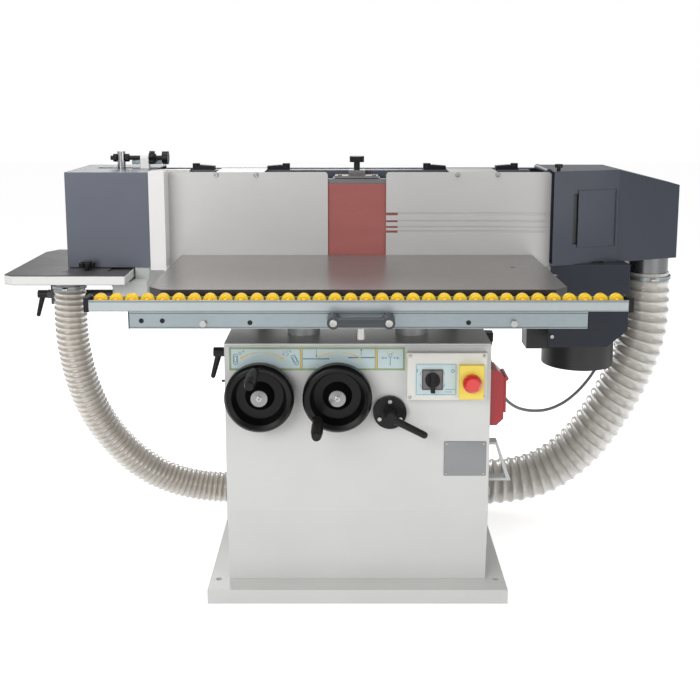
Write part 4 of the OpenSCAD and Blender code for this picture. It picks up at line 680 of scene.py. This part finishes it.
def frameLines(ranges, inX, inZ, cutZ):
    # two level and two upright lines inside a rectangle, the upright ones cut by cutZ at both ends
    (left, right), (low, high) = ranges
    level = [[(left + inX, z), (right - inX, z)] for z in (low + inZ, high - inZ)]
    return level + [[(x, low + cutZ), (x, high - cutZ)] for x in (left + inX, right - inX)]


# printed strip and bare name plate on the cabinet's front

inks = {"inkCyan": (214, 232, 234), "inkOlive": (172, 182, 92), "inkBlue": (78, 142, 168),
        "inkYellow": (250, 208, 50), "inkGrey": (116, 110, 108), "inkDark": (52, 52, 56)}
inkLook = {"rough": 0.34, "grain": 600, "bump": 0.03, "soft": 0.0003, "coat": 0.35}
inkShade = 0.92
for ink, tone in inks.items():
    finishes[ink] = makeFinish(ink, paint(tone, tuple(int(inkShade * v) for v in tone), **inkLook))
strip = {"ranges": ((-300, 111), (563, 621)), "corner": 2, "depth": (-223.1, -222), "edge": 0.3,
         "splits": (-131, 43), "lift": 0.05,
         "border": {"insets": (3, 3, 1.6), "width": 3.2}, "inner": {"insets": (5.4, 5.2, 5.2), "width": 1.1},
         "split": {"cut": 5, "width": 3.6, "line": 1, "side": 2.6},
         "swings": [((-223, 520), 88, 92, 121), ((-223, 520), 88, 87, 58), ((-44, 511), 97, 92, 116),
                    ((-44, 511), 97, 86, 62)],
         "swingWidths": (0.9, 2.4), "tipAngle": 4.5, "tipWidths": (6.4, 4.4, 2.4, 0.3),
         "curls": {"centre": (75.5, 602), "radius": 8, "angles": ((15, 75), (165, 105)), "widths": (2.4, 1)},
         "pads": [(-284, 592, 0), (-146, 590, 28)], "padSizes": (1, 0.6), "padWidth": 1.4,
         "pad": [(-5, -11), (-5, 9), (0, 12), (5, 9), (5, -11), (0, -14), (-5, -11)],
         "digitSize": 3, "digitWidth": 1.1, "zeroAt": (-276, 599), "degreeAt": (-0.8, 0),
         "fortyFiveAt": (-176, 599), "fortyFiveDegreeAt": (2, 0),
         "four": [(1.6, 0), (1.6, 4), (0, 1.2), (2.2, 1.2)],
         "five": [(5, 4), (3.4, 4), (3.3, 2.4), (4.9, 2.2), (5, 0.6), (3.2, 0)],
         "levels": [(-127, -66, 592), (-22, 39, 595)], "levelWidth": 2.8,
         "lifts": [(-96, 614, 600), (8, 600, 612)], "liftWidth": 1.2, "liftTip": (5, (5, 0.3)),
         "stem": ([(75.5, 576), (75.5, 596)], 1.6), "ring": ((75.5, 600), 4, 1.3),
         "sideArrow": [([22, 9], 1, 0), ([11, 7], (4.2, 0.3), 0.05)], "sideAt": 594,
         "sideBar": (17, 590.5, 597.5, 1.4)}
nameplate = {"ranges": ((203, 303), (307, 392)), "corner": 3, "depth": (-223.4, -222), "edge": 0.4,
             "rivet": [(0.01, -1.3), (1.6, -1.2), (2.4, -0.5), (2.6, 0), (2.6, 0.4)],
             "rivets": [(x, -223.4, z) for x in (209, 297) for z in (313, 386)]}


def stripArrows(s, face):
    arrows = []
    for centre, radius, start, stop in s["swings"]:
        line = arcPoints(centre, radius, start, stop)
        arrows.append(inked(line, np.linspace(*s["swingWidths"], len(line)), face))
        beyond = stop + math.copysign(s["tipAngle"], stop - start)
        arrows.append(inked(arcPoints(centre, radius, stop, beyond, 4), s["tipWidths"], face - s["lift"]))
    curl = s["curls"]
    for angles in curl["angles"]:
        line = arcPoints(curl["centre"], curl["radius"], *angles, 8)
        arrows.append(inked(line, np.linspace(*curl["widths"], len(line)), face))
    return arrows


def padLines(s, face, x, z, turn):
    c, t = math.cos(math.radians(turn)), math.sin(math.radians(turn))
    shape = np.array(s["pad"], float) @ np.array([[c, t], [-t, c]])
    return [inked((shape * size + (x, z))[i:i + 2], s["padWidth"], face)
            for size in s["padSizes"] for i in range(len(shape) - 1)]


def digitLines(s, face):
    # the numbers 0 and 45, each with its degree ring
    zero, ring = arcPoints((1, 2), 1.1, 0, 360, 14), arcPoints((4.4, 3.6), 0.55, 0, 360, 10)
    rows = [(mark, s["zeroAt"]) for mark in (zero, ring + s["degreeAt"])]
    rows += [(mark, s["fortyFiveAt"]) for mark in (s["four"], s["five"], ring + s["fortyFiveDegreeAt"])]
    return [inked(np.array(mark, float) * s["digitSize"] + place, s["digitWidth"], face)
            for mark, place in rows]


def stripMarks(s, face):
    marks = [line for pad in s["pads"] for line in padLines(s, face, *pad)] + digitLines(s, face)
    marks += [inked([(left, z), (right, z)], s["levelWidth"], face) for left, right, z in s["levels"]]
    tipLength, tipWidths = s["liftTip"]
    for x, start, stop in s["lifts"]:
        marks.append(inked([(x, start), (x, stop)], s["liftWidth"], face))
        beyond = stop + math.copysign(tipLength, stop - start)
        marks.append(inked([(x, stop), (x, beyond)], tipWidths, face - s["lift"]))
    centre, radius, width = s["ring"]
    marks += [inked(*s["stem"], face), inked(arcPoints(centre, radius, 0, 360, 16), width, face)]
    reach, low, high, barWidth = s["sideBar"]
    for side in (-1, 1):
        for places, widths, lift in s["sideArrow"]:
            ends = [(centre[0] + side * place, s["sideAt"]) for place in places]
            marks.append(inked(ends, widths, face - lift))
        x = centre[0] + side * reach
        marks.append(inked([(x, low), (x, high)], barWidth, face))
    return marks


def makeStrip(s, plate):
    face, (low, high) = s["depth"][0], s["ranges"][1]
    base = gridPiece("pictogramStrip", [plated(s)], "cabinet", "inkCyan", sharp=40)
    gridPiece("namePlate", [plated(plate)], "cabinet", "printed_plate", sharp=40)
    gridPiece("plateRivets", turnedAt(plate["rivet"], plate["rivets"], sides=20), "cabinet", "fastener_steel")
    for name, part, lift, ink in (("stripBorder", s["border"], 0, "inkOlive"),
                                  ("stripInnerLine", s["inner"], s["lift"], "inkBlue")):
        lines = frameLines(s["ranges"], *part["insets"])
        printed(name, [inked(line, part["width"], face - lift) for line in lines], ink)
    split, top = s["split"], face - 2 * s["lift"]
    ends = (low + split["cut"], high - split["cut"])
    splits = [inked([(x, z) for z in ends], split["width"], top) for x in s["splits"]]
    printed("stripSplits", splits, "inkYellow")
    printed("stripSplitLines", [inked([(x + side, z) for z in ends], split["line"], top)
                                for x in s["splits"] for side in (-split["side"], split["side"])], "inkBlue")
    printed("stripArrows", stripArrows(s, face), "inkYellow")
    printed("stripMarks", stripMarks(s, face), "inkBlue")
    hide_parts("panel_plates")


makeStrip(strip, nameplate)
print("printed strip made")


# screws, washers and holes that the photograph shows; a profile is (radius, place along the axis)

screws = {"panel": [(-361, 85, 993), (-259, 85, 993), (258, 85, 993), (361, 85, 993)],
          "skirt": [(509, 68, 572)],
          "barHoles": [(-456, -426, 730), (-412, -426, 730), (-228, -426, 726), (231, -426, 726)],
          "box": [(121, -244, 506), (121, -244, 604), (291, -244, 506), (291, -244, 604)],
          "flange": [(75, -234, 493), (50.8, -234, 451), (99.2, -234, 451)],
          "socketHead": [(0.01, -4.6), (2.2, -4.6), (2.4, -2.4), (2.5, -2.4), (2.6, -4.9), (4.4, -5),
                         (4.9, -4.5), (4.9, 0), (5, 0.3)],
          "panHead": [(0.01, -1.6), (1, -2.6), (2.8, -2.3), (3.8, -1.4), (4.2, 0), (4.2, 0.3)],
          "washer": [(3, -1), (6.2, -1), (6.6, -0.7), (6.7, 0), (6.7, 0.2), (3, 0.2)],
          "hole": [(0.01, -0.15), (4.2, -0.15), (4.6, -0.3), (5.2, -0.25), (5.4, 0.1)],
          "tableHole": ([(5.6, -0.4), (5.6, 0), (5.2, 0.2), (4.4, 0.1), (0.01, 0.1)], [(375, -98, 785)]),
          "tableScrew": ([(6, -0.4), (6, 0), (5.6, 0.4), (3, 0.4), (2.8, 0.1), (0.01, 0.1)],
                         [(457, -196, 785)])}


def makeScrews(s):
    for name, body, finish, places, profile in (
            ("panelScrews", "sanding_unit", "fastener_steel", "panel", "socketHead"),
            ("panelWashers", "sanding_unit", "zinc", "panel", "washer"),
            ("skirtScrews", "sanding_unit", "fastener_steel", "skirt", "socketHead"),
            ("boxScrews", "cabinet", "fastener_steel", "box", "panHead"),
            ("flangeScrews", "cabinet", "fastener_steel", "flange", "socketHead"),
            ("barHoles", "support", "black_plastic", "barHoles", "hole")):
        gridPiece(name, turnedAt(s[profile], s[places]), body, finish, sharp=35)
    for name, finish, sides in (("tableHole", "black_plastic", 28), ("tableScrew", "fastener_steel", 32)):
        gridPiece(name, turnedAt(*s[name], "z", sides), "table", finish, sharp=35)


makeScrews(screws)


# switch label with its plate, and the arrows round the emergency stop

label = {"ranges": ((132, 229), (510, 587)), "corner": 3, "depth": (-244.6, -244), "edge": 0.2,
         "centre": (172, 549), "ring": 31, "ringStarts": (20, 134, 200, 314), "ringRun": 26, "ringWidth": 1,
         "plateReach": 24.3, "plate": {"corner": 0.9, "depth": (-248.2, -244), "edge": 0.05},
         "rim": (22.8, 3, 2.4), "border": (3, 2, 0.8),
         "lines": [([(-35, 17), (-35, 25)], 1.6), ([(30, -24), (52, -24)], 1.2),
                   ([(30, -30), (46, -30)], 1.2)],
         "zero": ((47, 20), 3.4, 1.4), "box": "box_plastic",
         "stop": {"centre": (261, 546), "radius": 15.5, "front": -260, "angles": (30, 150, 270),
                  "run": (-40, 22, 40), "width": 1.6, "tip": (5, 3.4, 1.8, 0.3)}}


def closed(points):
    return np.vstack([points, points[:1]])


def makeLabel(s):
    gridPiece("switchLabel", [plated(s)], "cabinet", "inkCyan", sharp=40)
    square = plated(s["plate"] | {"ranges": around(s["centre"], s["plateReach"])})
    gridPiece("switchPlate", [square], "cabinet", "inkGrey", sharp=40)
    reach, corner, width = s["rim"]
    rim = closed(roundedOutline(*around(s["centre"], reach), corner))
    printed("switchRim", [inked(rim, width, s["plate"]["depth"][0])], "inkDark")
    inset, corner, width = s["border"]
    border = closed(roundedOutline(*((low + inset, high - inset) for low, high in s["ranges"]), corner))
    face, centre = s["depth"][0], np.array(s["centre"])
    printed("labelBorder", [inked(border, width, face)], "inkBlue")
    marks = [inked(centre + line, width, face) for line, width in s["lines"]]
    place, radius, width = s["zero"]
    marks.append(inked(arcPoints(centre + place, radius, 0, 360, 18), width, face))
    marks += [inked(arcPoints(centre, s["ring"], start, start + s["ringRun"], 8), s["ringWidth"], face)
              for start in s["ringStarts"]]
    printed("labelMarks", marks, "inkBlue")
    stop = s["stop"]
    back, ahead, end = stop["run"]
    for angle in stop["angles"]:
        line = arcPoints(stop["centre"], stop["radius"], angle + back, angle + ahead, 12)
        tip = arcPoints(stop["centre"], stop["radius"], angle + ahead, angle + end, 4)
        arrow = [inked(line, stop["width"], stop["front"]), inked(tip, stop["tip"], stop["front"])]
        printed("stopArrow" + str(angle), arrow, "inkDark")


makeLabel(label)
print("screws, label and marks made")


# bright discs, white band, copper plate and other small facings

facings = {"hubs": {"tilt_wheel": (-226, -271.4, 511), "lift_wheel": (-47, -271.4, 511)},
           "hubDisc": [(0.01, -2.4), (3, -2.6), (5.6, -2.2), (6, -1), (6.4, -0.9), (17.4, -1.2),
                       (19.2, -0.8), (19.8, 0), (19.8, 1.6), (17, 1.8)],
           "socket": [(0.01, -1.2), (3.1, -1.2), (3.3, -3.4), (5.4, -3.5), (6.2, -3), (6.4, -0.8)],
           "band": {"path": [(-570, 204), (-570, 330), (-844, 330), (-868, 285), (-868, -56), (-844, -72),
                             (-570, -72), (-570, 96)], "z": (737, 757.6), "out": 0.7},
           "copper": {"ranges": ((-57, 55), (92, 150)), "corner": 2, "depth": (988.4, 989.5), "edge": 0.3},
           "handleDiscs": [(-52.5, -471.2, 735.2), (62.5, -471.2, 735.2)],
           "handleDisc": [(0.01, -0.5), (2.4, -0.5), (2.6, -1.5), (6.6, -1.7), (7.4, -1.2), (7.6, 0.4)],
           "lightLineFront": -426.2,
           # thin strips on the rail and bar fronts: the zinc ones are painted highlights on the lips, the
           # dark grey ones painted shade in the grooves
           "highlightAndShadeLines": {"zinc": [(565, 771.2, 773.8, 0.9), (565, 750.2, 752, 0.5), (480, 747.4, 749.8, 1.1),
                              (480, 713.2, 715, 0.7)],
                     "handle_grey": [(565, 769.9, 770.9, 0.3), (480, 745.6, 746.6, 0.3),
                                     (480, 716, 716.7, 0.3)]},
           # a black sheet inside the cover behind the door's finger gap: painted shade that keeps the gap
           # dark
           "gapShadeSheet": {"origin": (500, 50), "angle": 18.435, "ranges": ((50, 84), (804, 958)), "corner": 1,
                      "depth": (3, 3.4), "edge": 0.1},
           "coverReturn": {"ranges": ((499.4, 513), (766, 1000)), "corner": 1, "depth": (85.2, 86.6),
                           "edge": 0.2},
           "screwGuide": {"ranges": ((-599, -520), (1012, 1027)), "corner": 1.5, "depth": (192, 195),
                          "edge": 0.4},
           "rollers": {"count": 34, "pitch": 33, "y": -409.6, "z": 770.5},
           "rollerFace": [(0.01, -1.9), (2.4, -1.8), (3.4, -1.2), (3.6, -0.2), (6.6, -0.1), (7, -0.9),
                          (9.6, -1), (10.2, -0.2), (10.4, 0.2)]}


def banded(path, low, high, out):
    # a thin strip standing along an open path: each corner moves out by the mitre of its neighbours' normals
    line = np.array(path, float)
    step = np.diff(line, axis=0)
    step /= np.linalg.norm(step, axis=1)[:, None]
    sides = np.stack([step[:, 1], -step[:, 0]], axis=1)
    mitre = (sides[:-1] + sides[1:]) / (1 + (sides[:-1] * sides[1:]).sum(axis=1))[:, None]
    joint = np.vstack([sides[:1], mitre, sides[-1:]])
    rows = [np.column_stack([line + joint * shift, np.full(len(line), height)])
            for shift, height in ((-out, low), (-out, high), (out, high), (out, low))]
    return np.stack(rows, axis=1) * millimetre


def makeFacings(s):
    for body, place in s["hubs"].items():
        gridPiece(body + "Disc", [turned(s["hubDisc"], place, "y", 48)], body, "hub_bright", sharp=35)
        gridPiece(body + "Screw", [turned(s["socket"], place, "y", 28)], body, "fastener_steel", sharp=35)
    band = s["band"]
    gridPiece("edgeBand", banded(band["path"], *band["z"], band["out"]), "auxiliary_table", "bandWhite",
              smooth=False)
    gridPiece("copperPlate", [plated(s["copper"], "z")], "sanding_unit", "copper_plate", sharp=40)
    gridPiece("handleDiscs", turnedAt(s["handleDisc"], s["handleDiscs"]), "support", "fastener_steel",
              sharp=35)
    # painted highlight strips and painted groove shade strips on the rail and bar
    for finish, rows in s["highlightAndShadeLines"].items():
        highlightAndShadeLines = [banded([(reach, s["lightLineFront"]), (-reach, s["lightLineFront"])], low, high, out)
                 for reach, low, high, out in rows]
        gridPiece("railPaintedLight_" + finish, highlightAndShadeLines, "support", finish, smooth=False)
    # black sheet behind the door gap, turned to the cover's front: painted shade
    lid = s["gapShadeSheet"]
    flat = plated(lid) / millimetre
    c, t = math.cos(math.radians(lid["angle"])), math.sin(math.radians(lid["angle"]))
    inward = [lid["origin"][0] + flat[..., 0] * c - flat[..., 1] * t,
              lid["origin"][1] + flat[..., 0] * t + flat[..., 1] * c, flat[..., 2]]
    gridPiece("doorGapShade", [np.stack(inward, axis=-1) * millimetre], "sanding_unit", "motor_black", sharp=40)
    # the cover's return edge is real; its darker copy of the cover paint is painted shade
    for name, finish, slot in (("coverReturn", "skirtPaintedShade", "cover_blue"), ("screwGuide", "zinc", None)):
        gridPiece(name, [plated(s[name])], "sanding_unit", finish, sharp=40)
    row = s["rollers"]
    places = [((i - (row["count"] - 1) / 2) * row["pitch"], row["y"], row["z"]) for i in range(row["count"])]
    gridPiece("rollerFaces", turnedAt(s["rollerFace"], places, sides=24), "support", "roller_yellow",
              sharp=50)


makeFacings(facings)
print("facings made")


# hose clamps, rear and side fixings

fixings = {"clamp": [(0, -4.5), (0.7, -4.7), (1.2, -4.2), (0.9, -2.8), (0.9, 2.8), (1.2, 4.2), (0.7, 4.7),
                     (0, 4.5), (-1.2, 4.4), (-1.2, -4.4), (0, -4.5)],
           "barrel": [(0.01, -7), (3.4, -7), (3.9, -6.4), (3.9, 6.4), (3.4, 7), (0.01, 7)], "barrelOut": 3.6,
           "hoseClamps": [("leftTop", (-767, 150, 690), "z", 43.4, "sanding_unit"),
                          ("rightTop", (796, 228, 704), "z", 63.1, "sanding_unit"),
                          ("leftLow", (-183, 275, 72), "x", 43.4, "cabinet"),
                          ("rightLow", (204, 275, 90), "x", 64.4, "cabinet")],
           "rearScrews": [(x, 287, z) for x in (-540, -270, 0, 270, 520) for z in (790, 982)],
           "cabinetScrews": [(x, 200, z) for x in (-286, 286) for z in (60, 330, 590)],
           "sideScrews": [(-314, y, z) for y in (-140, 140) for z in (190, 510)]}


def makeFixings(s):
    for name, place, axis, radius, body in s["hoseClamps"]:
        band = [(radius + out, along) for out, along in s["clamp"]]
        gridPiece(name + "Clamp", [turned(band, place, axis, 64)], body, "zinc", capped=False, sharp=35)
        away, across = ((0, -1, 0), "x") if axis == "z" else ((0, 0, 1), "y")
        spot = np.array(place) + np.array(away) * (radius + s["barrelOut"])
        gridPiece(name + "ClampScrew", [turned(s["barrel"], spot, across, 20)], body, "fastener_steel",
                  sharp=35)
    left = screws["panHead"]
    back = [(radius, -reach) for radius, reach in left][::-1]
    for name, body, profile, axis in (
            ("rearScrews", "sanding_unit", back, "y"), ("cabinetScrews", "cabinet", back, "y"),
            ("sideScrews", "cabinet", left, "x")):
        gridPiece(name, turnedAt(profile, s[name], axis, 24), body, "fastener_steel", sharp=35)


makeFixings(fixings)
print("fixings made")


# finishes on the solids that stay visible

# the right cover, its door and the motor skirt take the darker copies of the cover paint: painted shade
ownLooks = {"right_cover": "coverPaintedShade", "access_door": "coverPaintedShade", "tilt_wheel": "wheel_black",
            "lift_wheel": "wheel_black", "motor_skirt": "skirtPaintedShade"}
for row in frame["record"]["subparts"]:
    finish = ownLooks.get(row["node"], row["material_slot"])
    if finish in finishes:
        materials = frame["nodes"][row["node"]].data.materials
        materials.clear()
        materials.append(finishes[finish])
print("finishes set")
